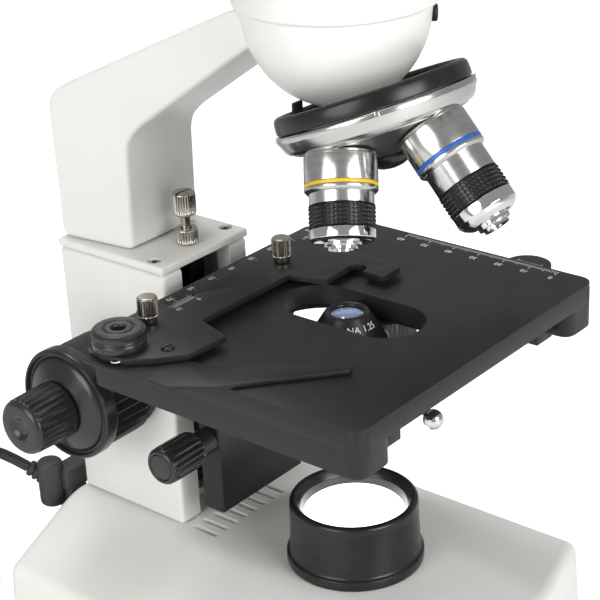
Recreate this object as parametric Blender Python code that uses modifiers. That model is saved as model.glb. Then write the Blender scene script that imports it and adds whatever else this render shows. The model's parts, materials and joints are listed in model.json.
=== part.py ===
"""A compound laboratory microscope with a binocular head, a four-place nosepiece, a mechanical stage,
a lit base and its power cord. Metres, +Z up. The user sits at -Y, and the arm stands at +Y."""

import math

import bmesh
import bpy
from mathutils import Matrix, Vector

MM = 0.001
GAP = 0.3 * MM

# Where the optical axis stands in the part's own frame. Every place below is measured from that axis.
OPTICAL_Y = -6.45 * MM

# Base
BASE_TOP = 56 * MM
SHOULDER_Z = 45.3 * MM
BASE_HALF = 64 * MM
RIDGE_HALF = 26 * MM
NOSE_HALF = 15.5 * MM
BASE_BACK = 112 * MM
BASE_FRONT = -65.4 * MM
BASE_WALL = 3 * MM
FOOT_HEIGHT = 4 * MM
FOOT_RADIUS = 8 * MM
FOOT_X, FOOT_FRONT_Y, FOOT_REAR_Y = 48 * MM, -40 * MM, 92 * MM
SLOT_COUNT, SLOT_PITCH, SLOT_WIDTH = 8, 5.1 * MM, 2.2 * MM
FIRST_SLOT_X, SLOT_FRONT, SLOT_BACK = -18.6 * MM, 46 * MM, 57.5 * MM

# Controls on the right side, and the power socket at the back
CONTROL_X, CONTROL_Z = 65.6 * MM, 26 * MM
SWITCH_Y, DIAL_Y = 62 * MM, 20 * MM
DIAL_RADIUS = 9 * MM

# Column, arm and focus drive
COLUMN_HALF = 21 * MM
COLUMN_FRONT, COLUMN_BACK = 60 * MM, 109 * MM
COLUMN_TOP = 151.1 * MM
CAP_THICKNESS, CAP_OVERHANG = 3 * MM, 0.4 * MM
CHEEK_INNER = 12 * MM
ARM_HALF_FRONT, ARM_HALF_BACK = 16 * MM, 19.6 * MM
FOCUS_Y, FOCUS_Z = 84.3 * MM, 108.3 * MM
COLLAR_OUTER_X = 24 * MM
COARSE_FACE_X = 48 * MM
FINE_FACE_X = 68 * MM
COARSE_SHAFT_RADIUS, FINE_SHAFT_RADIUS = 4.5 * MM, 3 * MM
PINION_RADIUS = 6 * MM

# Lamp
LAMP_FLANGE_RADIUS = 23.15 * MM
LAMP_GLASS_RADIUS = 17 * MM
LAMP_GLASS_TOP = 74.2 * MM
LAMP_TOP = 79 * MM
WIRE_WAY_RADIUS = 7 * MM

# Stage
STAGE_TOP = 147.2 * MM
STAGE_HALF = 62.5 * MM
STAGE_FRONT, STAGE_BACK = -52.7 * MM, 53 * MM
STAGE_THICKNESS = 6.8 * MM
LIP_INNER, LIP_BOTTOM = 47 * MM, 132 * MM
STAGE_HOLE_RADIUS = 12.5 * MM
STAGE_HOLE_FRONT, STAGE_HOLE_BACK = -28 * MM, 24 * MM
HOLDER_TOP = 151.2 * MM
HOLDER_THICKNESS = 2 * MM
DRIVE_X, DRIVE_Y = 54 * MM, 26 * MM
PIVOT_X, PIVOT_Y = -65.3 * MM, 35.4 * MM

# Condenser
CONDENSER_KNOB_Y, CONDENSER_KNOB_Z = 44.5 * MM, 95.8 * MM
IRIS_Z = 124.5 * MM
IRIS_ANGLE = math.radians(-104)
IRIS_REACH = 41.5 * MM

# Nosepiece: the working port stands on the optical axis at PORT_Z
PORT_Z = 203.6 * MM
PORT_CIRCLE = 18 * MM
TILT = math.radians(22)
LEAN = math.radians(-94.7)

# Head
SEAM_Z = 246 * MM
BOWL_RADIUS, BOWL_DEPTH = 28.5 * MM, 31 * MM
HEAD_CENTRE_Z = 271 * MM
HEAD_RISE = math.radians(30)
TUBE_SPREAD = 32 * MM
PRISM_ARM_RADIUS, PRISM_ARM_THICKNESS = 16.5 * MM, 10 * MM

# Power cord
CORD_RADIUS = 2 * MM
CORD_ROUTE = [
    (-31.5, 128.0, 62.5), (-37.0, 134.5, 68.2), (-44.0, 142.0, 72.0), (-53.0, 150.0, 71.0), (-63.0, 158.0, 62.5),
    (-72.0, 165.5, 48.0), (-79.5, 173.0, 30.5), (-85.0, 181.0, 15.0), (-87.5, 190.5, 5.4), (-86.0, 200.5, 2.4),
    (-80.0, 210.5, 2.4), (-70.5, 217.0, 2.4), (-59.0, 221.0, 2.4),
]
COIL_CENTRE = Vector((-50, 188, 0.3)) * MM
COIL_INNER, COIL_OUTER = 14.5 * MM, 31.5 * MM
COIL_HEIGHT = 8.5 * MM

COLOURS = {
    "enamel": ((0.83, 0.83, 0.78), 0.38, 0.0),
    "black_coat": ((0.022, 0.022, 0.022), 0.42, 0.2),
    "black_plastic": ((0.018, 0.018, 0.018), 0.3, 0.0),
    "chrome": ((0.72, 0.71, 0.69), 0.2, 1.0),
    "nickel": ((0.62, 0.58, 0.52), 0.28, 1.0),
    "steel": ((0.55, 0.55, 0.55), 0.3, 1.0),
    "brass": ((0.72, 0.52, 0.22), 0.35, 1.0),
    "rubber": ((0.02, 0.02, 0.02), 0.8, 0.0),
    "glass": ((0.85, 0.9, 0.92), 0.05, 0.0),
    "lamp": ((0.95, 0.97, 1.0), 0.3, 0.0),
}


def clear_scene():
    for old in list(bpy.data.objects):
        bpy.data.objects.remove(old, do_unlink=True)


def new_collection(name):
    found = bpy.data.collections.new(name)
    bpy.context.scene.collection.children.link(found)
    return found


clear_scene()
PARTS = new_collection("microscope")
CUTTERS = new_collection("cutters")
CUTTERS.hide_render = True


def finish_named(key):
    """The Principled material of this key, made once."""
    found = bpy.data.materials.get(key)
    if found:
        return found
    colour, roughness, metallic = COLOURS[key]
    found = bpy.data.materials.new(key)
    found.use_nodes = True
    shader = found.node_tree.nodes["Principled BSDF"]
    shader.inputs["Base Color"].default_value = (*colour, 1)
    shader.inputs["Roughness"].default_value = roughness
    shader.inputs["Metallic"].default_value = metallic
    return found


def empty(name, location=(0, 0, 0), parent=None, matrix=None):
    """A guide that moving pieces hang on, standing on their joint's axis."""
    guide = bpy.data.objects.new(name, None)
    PARTS.objects.link(guide)
    guide.parent = parent
    if matrix is None:
        guide.location = location
    else:
        guide.matrix_local = matrix
    return guide


def add(name, mesh, finish, parent, location=(0, 0, 0), rotation=(0, 0, 0), collection=None):
    piece = bpy.data.objects.new(name, mesh)
    (collection or PARTS).objects.link(piece)
    piece.parent = parent
    piece.location = location
    piece.rotation_euler = rotation
    if finish:
        mesh.materials.append(finish_named(finish))
    return piece


def mesh_from(build):
    """A new mesh filled by build(bmesh), with outward normals."""
    mesh = bpy.data.meshes.new("shape")
    shape = bmesh.new()
    build(shape)
    bmesh.ops.recalc_face_normals(shape, faces=shape.faces)
    shape.to_mesh(mesh)
    shape.free()
    return mesh


def box_mesh(low, high):
    low, high = Vector(low), Vector(high)

    def build(shape):
        bmesh.ops.create_cube(shape, size=1)
        bmesh.ops.scale(shape, vec=high - low, verts=shape.verts)
        bmesh.ops.translate(shape, vec=(low + high) / 2, verts=shape.verts)

    return mesh_from(build)


def box(name, low, high, finish, parent, bevel=0.0, segments=2, **place):
    piece = add(name, box_mesh(low, high), finish, parent, **place)
    if bevel:
        soften(piece, bevel, segments)
    return piece


def soften(piece, width, segments=2, angle=40):
    rounding = piece.modifiers.new("edges", "BEVEL")
    rounding.width = width
    rounding.segments = segments
    rounding.limit_method = "ANGLE"
    rounding.angle_limit = math.radians(angle)
    rounding.use_clamp_overlap = True
    return rounding


def hull(name, points, finish, parent, **place):
    def build(shape):
        for point in points:
            shape.verts.new(point)
        made = bmesh.ops.convex_hull(shape, input=shape.verts)
        loose = [item for item in made["geom_interior"] if isinstance(item, bmesh.types.BMVert)]
        bmesh.ops.delete(shape, geom=loose, context="VERTS")
        bmesh.ops.dissolve_limit(
            shape, angle_limit=math.radians(1), verts=shape.verts, edges=shape.edges
        )

    return add(name, mesh_from(build), finish, parent, **place)


def prism(name, outline, low, high, finish, parent, plane="XY", **place):
    """A flat outline given depth. In plane YZ the outline's pairs are (y, z) and the depth runs along X."""
    curve = bpy.data.curves.new(name, "CURVE")
    curve.dimensions = "2D"
    curve.fill_mode = "BOTH"
    curve.extrude = (high - low) / 2
    line = curve.splines.new("POLY")
    line.points.add(len(outline) - 1)
    for point, (u, v) in zip(line.points, outline):
        point.co = (u, v, 0, 1)
    line.use_cyclic_u = True
    holder = bpy.data.objects.new(name, curve)
    bpy.context.scene.collection.objects.link(holder)
    bpy.context.view_layer.update()
    mesh = bpy.data.meshes.new_from_object(
        holder.evaluated_get(bpy.context.evaluated_depsgraph_get())
    )
    bpy.data.objects.remove(holder)
    shape = bmesh.new()
    shape.from_mesh(mesh)
    bmesh.ops.remove_doubles(shape, verts=shape.verts, dist=1e-6)
    bmesh.ops.translate(shape, vec=(0, 0, (low + high) / 2), verts=shape.verts)
    if plane == "YZ":
        # (u, v, w) becomes (w, u, v)
        turn = Matrix(((0, 0, 1), (1, 0, 0), (0, 1, 0)))
        bmesh.ops.transform(shape, matrix=turn.to_4x4(), verts=shape.verts)
    bmesh.ops.dissolve_limit(
        shape, angle_limit=math.radians(0.5), verts=shape.verts, edges=shape.edges
    )
    bmesh.ops.recalc_face_normals(shape, faces=shape.faces)
    shape.to_mesh(mesh)
    shape.free()
    return add(name, mesh, finish, parent, **place)


def turned(name, profile, finish, parent, steps=32, collection=None, **place):
    """A profile of (radius, height) pairs, run down its outer side, turned about Z. One that starts and ends
    off the axis is a ring and closes on itself."""
    mesh = bpy.data.meshes.new(name)
    points = [(radius, 0, height) for radius, height in profile]
    edges = [(i, i + 1) for i in range(len(points) - 1)]
    if profile[0][0] > 0 and profile[-1][0] > 0:
        edges.append((len(points) - 1, 0))
    mesh.from_pydata(points, edges, [])
    piece = add(name, mesh, finish, parent, collection=collection, **place)
    screw = piece.modifiers.new("turn", "SCREW")
    screw.axis = "Z"
    screw.steps = steps
    screw.render_steps = steps
    screw.use_merge_vertices = True
    screw.merge_threshold = 0.00001
    return piece


def rod(name, radius, start, end, finish, parent, steps=24, chamfer=0.0, **place):
    lip = chamfer
    profile = [(0, end), (radius - lip, end), (radius, end - lip), (radius, start + lip), (radius - lip, start), (0, start)]
    if not lip:
        profile = [(0, end), (radius, end), (radius, start), (0, start)]
    return turned(name, profile, finish, parent, steps=steps, **place)


def cutter(piece, tool, operation="DIFFERENCE"):
    """Cuts tool from piece, or joins it. The tool is kept as a hidden wire guide."""
    for home in list(tool.users_collection):
        home.objects.unlink(tool)
    CUTTERS.objects.link(tool)
    tool.hide_render = True
    tool.display_type = "WIRE"
    change = piece.modifiers.new(operation.lower(), "BOOLEAN")
    change.operation = operation
    change.object = tool
    change.solver = "EXACT"
    return change


def arc(centre_x, centre_y, radius, start, end, count):
    """count + 1 points along an arc, angles in degrees."""
    points = []
    for i in range(count + 1):
        angle = math.radians(start + (end - start) * i / count)
        points.append((centre_x + radius * math.cos(angle), centre_y + radius * math.sin(angle)))
    return points


def stadium(radius, front, back, count=12):
    return arc(0, back - radius, radius, 0, 180, count) + arc(0, front + radius, radius, 180, 360, count)


def rounded_rectangle(low_x, high_x, low_y, high_y, radius, count=3):
    corners = [
        (high_x - radius, high_y - radius, 0), (low_x + radius, high_y - radius, 90),
        (low_x + radius, low_y + radius, 180), (high_x - radius, low_y + radius, 270),
    ]
    points = []
    for x, y, start in corners:
        points += arc(x, y, radius, start, start + 90, count)
    return points


def mm(*values):
    return tuple(value * MM for value in values)


def mm_all(pairs):
    return [mm(*pair) for pair in pairs]


ALONG_X = (0, math.radians(90), 0)
AGAINST_X = (0, math.radians(-90), 0)
FRAME = empty("microscope_frame", (0, OPTICAL_Y, 0))


def base_points(inset, bottom):
    """The corners of the base's body, drawn in by inset, down to the height bottom."""
    i = inset
    top, shoulder = BASE_TOP - i, SHOULDER_Z - i
    points = []
    for side in (-1, 1):
        points += [
            (side * (RIDGE_HALF - i), BASE_BACK - i, top),
            (side * (RIDGE_HALF - i), 0, top),
            (side * (NOSE_HALF - i), BASE_FRONT + i, top),
            (side * (BASE_HALF - i), BASE_BACK - 7 * MM - i, shoulder),
            (side * (BASE_HALF - i), -48 * MM + i, shoulder),
            (side * (BASE_HALF + 2 * MM - i), BASE_BACK - 5 * MM - i, bottom),
            (side * (BASE_HALF + 2 * MM - i), -50 * MM + i, bottom),
            (side * (NOSE_HALF + 3 * MM - i), BASE_FRONT - 4.5 * MM + i, bottom),
        ]
    return points


def build_base():
    housing = hull("base_housing", base_points(0, FOOT_HEIGHT), "enamel", FRAME)
    soften(housing, 3.5 * MM, 2, 12)
    cavity = hull("base_cavity", base_points(BASE_WALL, -2 * MM), None, FRAME)
    cutter(housing, cavity)
    for i in range(SLOT_COUNT):
        left = FIRST_SLOT_X + i * SLOT_PITCH - SLOT_WIDTH / 2
        slot = box(
            f"vent_{i}", (left, SLOT_FRONT, BASE_TOP - 2 * BASE_WALL), (left + SLOT_WIDTH, SLOT_BACK, BASE_TOP + BASE_WALL),
            None, FRAME,
        )
        cutter(housing, slot)
    wire_way = rod("lamp_wire_way", WIRE_WAY_RADIUS, BASE_TOP - 2 * BASE_WALL, BASE_TOP + BASE_WALL, None, FRAME)
    cutter(housing, wire_way)
    plate_z = FOOT_HEIGHT + GAP
    outline = [
        mm(-58, -44), mm(-16, -61), mm(16, -61), mm(58, -44), mm(58, 99), mm(26, 104), mm(-26, 104), mm(-58, 99),
    ]
    prism("base_bottom_plate", outline, plate_z, plate_z + 1.5 * MM, "black_coat", FRAME)
    places = {
        "foot_front_left": (-FOOT_X, FOOT_FRONT_Y), "foot_front_right": (FOOT_X, FOOT_FRONT_Y),
        "foot_rear_left": (-FOOT_X, FOOT_REAR_Y), "foot_rear_right": (FOOT_X, FOOT_REAR_Y),
    }
    for name, (x, y) in places.items():
        rod(name, FOOT_RADIUS, 0, FOOT_HEIGHT, "rubber", FRAME, steps=16, chamfer=1 * MM, location=(x, y, 0))


def build_lamp():
    edge, bore, low = LAMP_FLANGE_RADIUS, LAMP_GLASS_RADIUS + GAP, BASE_TOP + GAP
    floor = low + 2 * MM
    profile = [
        (edge - 3.35 * MM, LAMP_TOP), (edge - 2.55 * MM, LAMP_TOP - 0.2 * MM), (edge - 1.35 * MM, LAMP_TOP - 3.5 * MM),
        (edge - 0.85 * MM, low + 3.7 * MM), (edge, low + 3 * MM), (edge, low), (WIRE_WAY_RADIUS + 2 * MM, low),
        (WIRE_WAY_RADIUS + 2 * MM, floor), (bore, floor), (bore, LAMP_GLASS_TOP + 0.4 * MM),
    ]
    turned("lamp_housing", profile, "black_coat", FRAME, steps=28)
    bottom = LAMP_GLASS_TOP - 3.7 * MM
    glass = [
        (0, LAMP_GLASS_TOP), (LAMP_GLASS_RADIUS - 0.4 * MM, LAMP_GLASS_TOP),
        (LAMP_GLASS_RADIUS, LAMP_GLASS_TOP - 0.6 * MM), (LAMP_GLASS_RADIUS, bottom), (0, bottom),
    ]
    turned("lamp_glass", glass, "lamp", FRAME, steps=24)


def build_controls():
    """The rocker switch and the brightness dial on the base's right side, and the power socket at its back."""
    housing = bpy.data.objects["base_housing"]
    switch = empty("switch_axis", (CONTROL_X, SWITCH_Y, CONTROL_Z), FRAME)
    half_length, half_height, clearance = 6.5 * MM, 4.5 * MM, 0.5 * MM
    box(
        "power_switch", (-4 * MM, -half_length, -half_height), (2.2 * MM, half_length, half_height), "black_plastic",
        switch, 0.8 * MM,
    )
    cutter(housing, box(
        "switch_hole", (-9 * MM, -half_length - clearance, -half_height - clearance),
        (5 * MM, half_length + clearance, half_height + clearance), None, switch,
    ))
    dial = empty("dial_axis", (CONTROL_X, DIAL_Y, CONTROL_Z), FRAME)
    rod("brightness_dial", DIAL_RADIUS, -3 * MM, 8.7 * MM, "black_plastic", dial, chamfer=0.8 * MM, rotation=ALONG_X)
    cutter(housing, rod(
        "dial_hole", DIAL_RADIUS + clearance, -6 * MM, 12 * MM, None, dial, rotation=ALONG_X
    ))
    cutter(housing, box("socket_hole", mm(-30.5, 100, 38.5), mm(-17.5, 118, 51.5), None, FRAME))


def build_column():
    low = BASE_TOP + GAP
    cover = box(
        "column_cover", (-COLUMN_HALF, COLUMN_FRONT, low), (COLUMN_HALF, COLUMN_BACK, COLUMN_TOP), "enamel", FRAME
    )
    soften(cover, 1.5 * MM, 2)
    wall = 3 * MM
    cutter(cover, box(
        "column_hollow", (-COLUMN_HALF + wall, COLUMN_FRONT + 2 * wall, low + wall),
        (COLUMN_HALF - wall, COLUMN_BACK - wall, COLUMN_TOP + 5 * MM), None, FRAME,
    ))
    cutter(cover, box(
        "column_slot", (-CHEEK_INNER, COLUMN_FRONT - 5 * MM, low + 0.5 * MM),
        (CHEEK_INNER, COLUMN_FRONT + 3 * wall, COLUMN_TOP + 5 * MM), None, FRAME,
    ))
    bore = rod(
        "shaft_way", 6 * MM, -40 * MM, 40 * MM, None, FRAME, location=(0, FOCUS_Y, FOCUS_Z), rotation=ALONG_X
    )
    cutter(cover, bore)
    cap_low = COLUMN_TOP + GAP
    cap = box(
        "column_cap", (-COLUMN_HALF - CAP_OVERHANG, COLUMN_FRONT - CAP_OVERHANG, cap_low),
        (COLUMN_HALF + CAP_OVERHANG, COLUMN_BACK, cap_low + CAP_THICKNESS), "enamel", FRAME,
    )
    soften(cap, 0.8 * MM, 2)
    screw_hole = rod("stop_screw_way", 2.2 * MM, 140 * MM, 170 * MM, None, FRAME, location=(0, 68 * MM, 0))
    cutter(cap, screw_hole)
    for side in (-1, 1):
        sink = rod(
            f"cap_screw_sink_{side}", 2.2 * MM, cap_low + 1.2 * MM, 170 * MM, None, FRAME,
            location=(side * 16 * MM, 65.5 * MM, 0),
        )
        cutter(cap, sink)
    stop = empty("stop_screw_axis", (0, 68 * MM, cap_low + CAP_THICKNESS), FRAME)
    profile = mm_all([
        (0, 18.6), (3, 18.6), (3.9, 17.6), (3.9, 11), (3.3, 10.4), (1.6, 10.2), (1.6, 5.9), (3.9, 5.7), (3.9, 0.3),
        (1.8, 0.3), (1.8, -4.2), (0, -4.2),
    ])
    turned("stage_stop_screw", profile, "nickel", stop, steps=16)


def build_arm():
    """The upper casting. Its sides lean in towards the front, so it is wider at the back."""
    low = COLUMN_TOP + CAP_THICKNESS + 2 * GAP
    outline = [
        (78 * MM, low), (77 * MM, 190 * MM), (75.5 * MM, 194 * MM), (71 * MM, 198.6 * MM),
        (27 * MM, 228.4 * MM), (27 * MM, 243.6 * MM), (101 * MM, 209.8 * MM), (106 * MM, 207 * MM),
        (109 * MM, 202.5 * MM), (108.5 * MM, low),
    ]
    arm = prism("arm", outline, -1, 1, "enamel", FRAME, plane="YZ")
    front, back = 74 * MM, 109 * MM
    for vertex in arm.data.vertices:
        _, y, z = vertex.co
        depth = min(1, max(0, (y - front) / (back - front)))
        if y < front:
            # distance above the arm's lower face, over its thickness
            depth = min(1, max(0, (z - (198.6 * MM + (71 * MM - y) * 0.677)) / (20 * MM)))
        half = ARM_HALF_FRONT + depth * (ARM_HALF_BACK - ARM_HALF_FRONT)
        vertex.co.x = math.copysign(half, vertex.co.x)
    soften(arm, 1.6 * MM, 2, 25)


def bowl_profile():
    """Down the outside of the bowl, from its flat top to its lowest point."""
    points = [(0, SEAM_Z)]
    count = 9
    for i in range(count + 1):
        angle = math.radians(90 * i / count)
        points.append((BOWL_RADIUS * math.cos(angle), SEAM_Z - BOWL_DEPTH * math.sin(angle)))
    points[-1] = (0, SEAM_Z - BOWL_DEPTH)
    return points


def nosepiece_matrix():
    """Z points up the nosepiece's axis and X from its centre to the working port."""
    to_centre = Vector((math.cos(LEAN) * math.cos(TILT), math.sin(LEAN) * math.cos(TILT), math.sin(TILT)))
    up = Vector((-math.cos(LEAN) * math.sin(TILT), -math.sin(LEAN) * math.sin(TILT), math.cos(TILT)))
    along = -to_centre
    side = up.cross(along)
    turn = Matrix((along, side, up)).transposed().to_4x4()
    return Matrix.Translation(Vector((0, 0, PORT_Z)) + PORT_CIRCLE * to_centre) @ turn


def build_nosepiece_mount():
    bowl = turned("nosepiece_mount", bowl_profile(), "enamel", FRAME, steps=32)
    bearing = rod("bearing_seat", 9 * MM, 7.4 * MM, 16 * MM, None, AXIS_FIXED, steps=24)
    cutter(bowl, bearing, "UNION")
    arm = bpy.data.objects["arm"]
    clearance = [(radius + (GAP if radius else 0), height - (GAP if i else -5 * MM)) for i, (radius, height)
                 in enumerate(bowl_profile())]
    clearance.insert(1, (BOWL_RADIUS + GAP, SEAM_Z + 5 * MM))
    seat = turned("bowl_clearance", clearance, None, FRAME, steps=32)
    cutter(arm, seat)
    box("click_spring", mm(-17, 3.2, 211.3), mm(-13, 4.6, 218.9), "black_coat", FRAME, 0.3 * MM, 1)


OBJECTIVE_PROFILES = {
    # below the shoulder: (radius, distance down) pairs in millimetres
    "objective_4x": [(10.75, 0), (10.75, 12.5), (9.4, 12.8), (9.4, 14.5), (9.6, 14.6), (9.6, 20.4), (9, 20.6),
                     (9, 22.5), (6, 23.2), (5.6, 23.2), (5.6, 21.6), (0, 21.6)],
    "objective_10x": [(10.75, 0), (10.75, 13.9), (9.4, 14.4), (9.4, 17.6), (9.65, 17.7), (9.65, 24.3), (9.5, 24.5),
                      (9.5, 27.4), (8.4, 28), (5.45, 28), (5.45, 29.4), (4.3, 29.6), (4.3, 30.4), (3.4, 30.4),
                      (3.2, 29.2), (0, 29.2)],
    "objective_40x": [(10.75, 0), (10.75, 14.6), (9.4, 15.3), (9.4, 21.8), (9.65, 21.9), (9.65, 29), (9.5, 29.2),
                      (9.5, 32.4), (8.7, 34), (7, 35.2), (5.2, 35.4), (5.2, 36.8), (4, 37), (4, 37.9), (2.4, 37.9),
                      (2.2, 37.2), (0, 37.2)],
    "objective_100x": [(10.75, 0), (10.75, 14.6), (9.4, 15.3), (9.4, 23), (9.65, 23.1), (9.65, 30), (9.5, 30.2),
                       (9.5, 32.2), (8.2, 34), (6, 35.6), (4.6, 36), (4.6, 37.4), (3, 37.8), (3, 38.3), (1.6, 38.3),
                       (1.5, 37.8), (0, 37.8)],
}
OBJECTIVE_PLACES = {"objective_4x": 0, "objective_10x": 90, "objective_40x": 180, "objective_100x": 270}


def build_nosepiece():
    hub = empty("nosepiece_axis", parent=FRAME, matrix=nosepiece_matrix())
    slope = math.tan(TILT)

    def cone(radius):
        return (radius * MM, (radius * MM - PORT_CIRCLE) * slope)

    disc = [(0, 7 * MM), mm(30.2, 7), mm(30.6, 6.6), mm(30.6, 4.4), cone(28.8), cone(6), (6 * MM, -8.2 * MM),
            (0, -8.2 * MM)]
    turned("nosepiece_disc", disc, "chrome", hub, steps=32)
    rim = mm_all([(27.6, 12.5), (28.9, 12.5), (29.8, 11.5), (30, 7.3), (26.4, 7.3), (26.4, 11.6)])
    turned("nosepiece_rim", rim, "black_coat", hub, steps=32)
    cap = mm_all([(0, -8.5), (5.4, -8.5), (5.4, -10.2), (3.6, -11.6), (0, -12.2)])
    turned("nosepiece_hub_cap", cap, "black_plastic", hub, steps=16)
    for name, turn in OBJECTIVE_PLACES.items():
        angle = math.radians(turn)
        profile = [(0, -GAP)] + [(r * MM, -d * MM - GAP) for r, d in OBJECTIVE_PROFILES[name]]
        turned(
            name, profile, "chrome", hub, steps=18,
            location=(PORT_CIRCLE * math.cos(angle), PORT_CIRCLE * math.sin(angle), 0), rotation=(0, -TILT, angle),
        )


def build_focus_drive():
    coarse = empty("coarse_axis", (0, FOCUS_Y, FOCUS_Z), FRAME)
    fine = empty("fine_axis", (0, FOCUS_Y, FOCUS_Z), FRAME)
    bore = FINE_SHAFT_RADIUS + GAP
    half = 42 * MM
    shaft = [
        (COARSE_SHAFT_RADIUS, half), (COARSE_SHAFT_RADIUS, 3.5 * MM), (PINION_RADIUS, 3.5 * MM),
        (PINION_RADIUS, -3.5 * MM), (COARSE_SHAFT_RADIUS, -3.5 * MM), (COARSE_SHAFT_RADIUS, -half),
        (bore, -half), (bore, half),
    ]
    turned("coarse_shaft_pinion", shaft, "steel", coarse, steps=16, rotation=ALONG_X)
    rod("fine_shaft", FINE_SHAFT_RADIUS, -62 * MM, 62 * MM, "steel", fine, steps=16, rotation=ALONG_X)
    collar_bore = COARSE_SHAFT_RADIUS + GAP
    for side, turn in (("left", AGAINST_X), ("right", ALONG_X)):
        collar = [
            (17 * MM, COLLAR_OUTER_X), (17.6 * MM, COLLAR_OUTER_X - 0.6 * MM), (17.6 * MM, COLUMN_HALF + GAP),
            (collar_bore, COLUMN_HALF + GAP), (collar_bore, COLLAR_OUTER_X),
        ]
        turned(f"tension_collar_{side}", collar, "black_coat", FRAME, steps=20,
               location=(0, FOCUS_Y, FOCUS_Z), rotation=turn)
        face = COARSE_FACE_X
        back = COLLAR_OUTER_X + GAP
        knob = [
            (10.4 * MM, face + 2.6 * MM), (17.2 * MM, face - 0.3 * MM), (17.4 * MM, face - 1 * MM),
            (17.9 * MM, face - 1 * MM), (18.2 * MM, face), (19.1 * MM, face), (19.75 * MM, face - 0.7 * MM),
            (19.75 * MM, face - 5 * MM), (18.8 * MM, face - 5.8 * MM), (18.6 * MM, back + 0.6 * MM),
            (18 * MM, back), (collar_bore, back), (collar_bore, 42.3 * MM), (bore, 42.3 * MM),
            (bore, face + 2.6 * MM),
        ]
        turned(f"coarse_knob_{side}", knob, "black_plastic", coarse, steps=24, rotation=turn)
        front = FINE_FACE_X
        grip = [
            (0, front - 1.1 * MM), (3.6 * MM, front - 1.1 * MM), (4 * MM, front), (8.6 * MM, front),
            (9.7 * MM, front - 1.2 * MM), (10.15 * MM, face + 3.4 * MM), (9.8 * MM, face + 3 * MM),
            (bore, face + 3 * MM), (bore, 62.3 * MM), (0, 62.3 * MM),
        ]
        turned(f"fine_knob_{side}", grip, "black_plastic", fine, steps=20, rotation=turn)


def build_stage_lift():
    """What the focus drive raises: the slide in the column, its rack, the bracket block and the lower plate."""
    guide = box("focus_guide", mm(-11.5, 72.3, 59.8), mm(11.5, 78.6, 150.5), "black_coat", FRAME)
    cutter(guide, box("guide_slot", mm(-4.6, 60, 64), mm(4.6, 90, 146), None, FRAME))
    carriage = box("stage_carriage", mm(-10.5, 62, 74), mm(10.5, 72, 135.7), "black_coat", FRAME)
    cutter(carriage, box("carriage_neck", mm(-10, 49.3, 98), mm(10, 63, 135.7), None, FRAME), "UNION")
    rack_low, rack_top, tooth_count = 76, 131, 27
    back, root, tip = 72.3, 76.7, 78
    pitch = (rack_top - rack_low) / tooth_count
    rack = [mm(back, rack_low), mm(back, rack_top)]
    for i in range(tooth_count):
        top = rack_top - i * pitch
        rack += [mm(tip, top - 0.24 * pitch), mm(tip, top - 0.53 * pitch), mm(root, top - 0.77 * pitch)]
    rack += [mm(root, rack_low)]
    prism("focus_rack", rack, -3 * MM, 3 * MM, "brass", FRAME, plane="YZ")
    bracket = box("stage_bracket", mm(-21, 40, 68), mm(21, 49, 135.7), "black_coat", FRAME)
    soften(bracket, 0.5 * MM, 1)
    hole = rod(
        "condenser_knob_way", 2.8 * MM, -30 * MM, 0, None, FRAME,
        location=(0, CONDENSER_KNOB_Y, CONDENSER_KNOB_Z), rotation=ALONG_X,
    )
    cutter(bracket, hole)
    outline = rounded_rectangle(-45 * MM, 45 * MM, -48 * MM, 50 * MM, 2 * MM)
    lower = prism("stage_lower_plate", outline, 136 * MM, 140 * MM, "black_coat", FRAME)
    cutter(lower, prism("lower_opening", stadium(19 * MM, -34 * MM, 30 * MM), 130 * MM, 145 * MM, None, FRAME))
    for side, x in ((-1, -46), (1, 36)):
        rail = box(f"guide_rail_{side}", mm(x + 0.6, -47.5, 132.4), mm(x + 9.4, 45, 137), None, FRAME)
        cutter(lower, rail, "UNION")


HOLDER_OUTLINE = [
    (-38.1, 27.1), (3.9, 27.0), (7.5, 14.0), (18.4, 14.6), "notch", (19.6, 8.6), (19.2, 1.4), (20.6, 0), (28.6, 0.2),
    (31.4, 2.6), (32, 38), (29, 43.6), (-33, 43.6), (-35, 47.4), (-66, 48.4), (-71.4, 43), (-73.4, 35.4), (-71.4, 27),
    (-66, 20.4), (-58, 14.2), (-42.7, 12.8),
]


def holder_outline():
    points = []
    for item in HOLDER_OUTLINE:
        if item == "notch":
            points += arc(20.4 * MM, 11.6 * MM, 3.2 * MM, 118, -104, 7)
        else:
            points.append(mm(*item))
    return points


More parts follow.
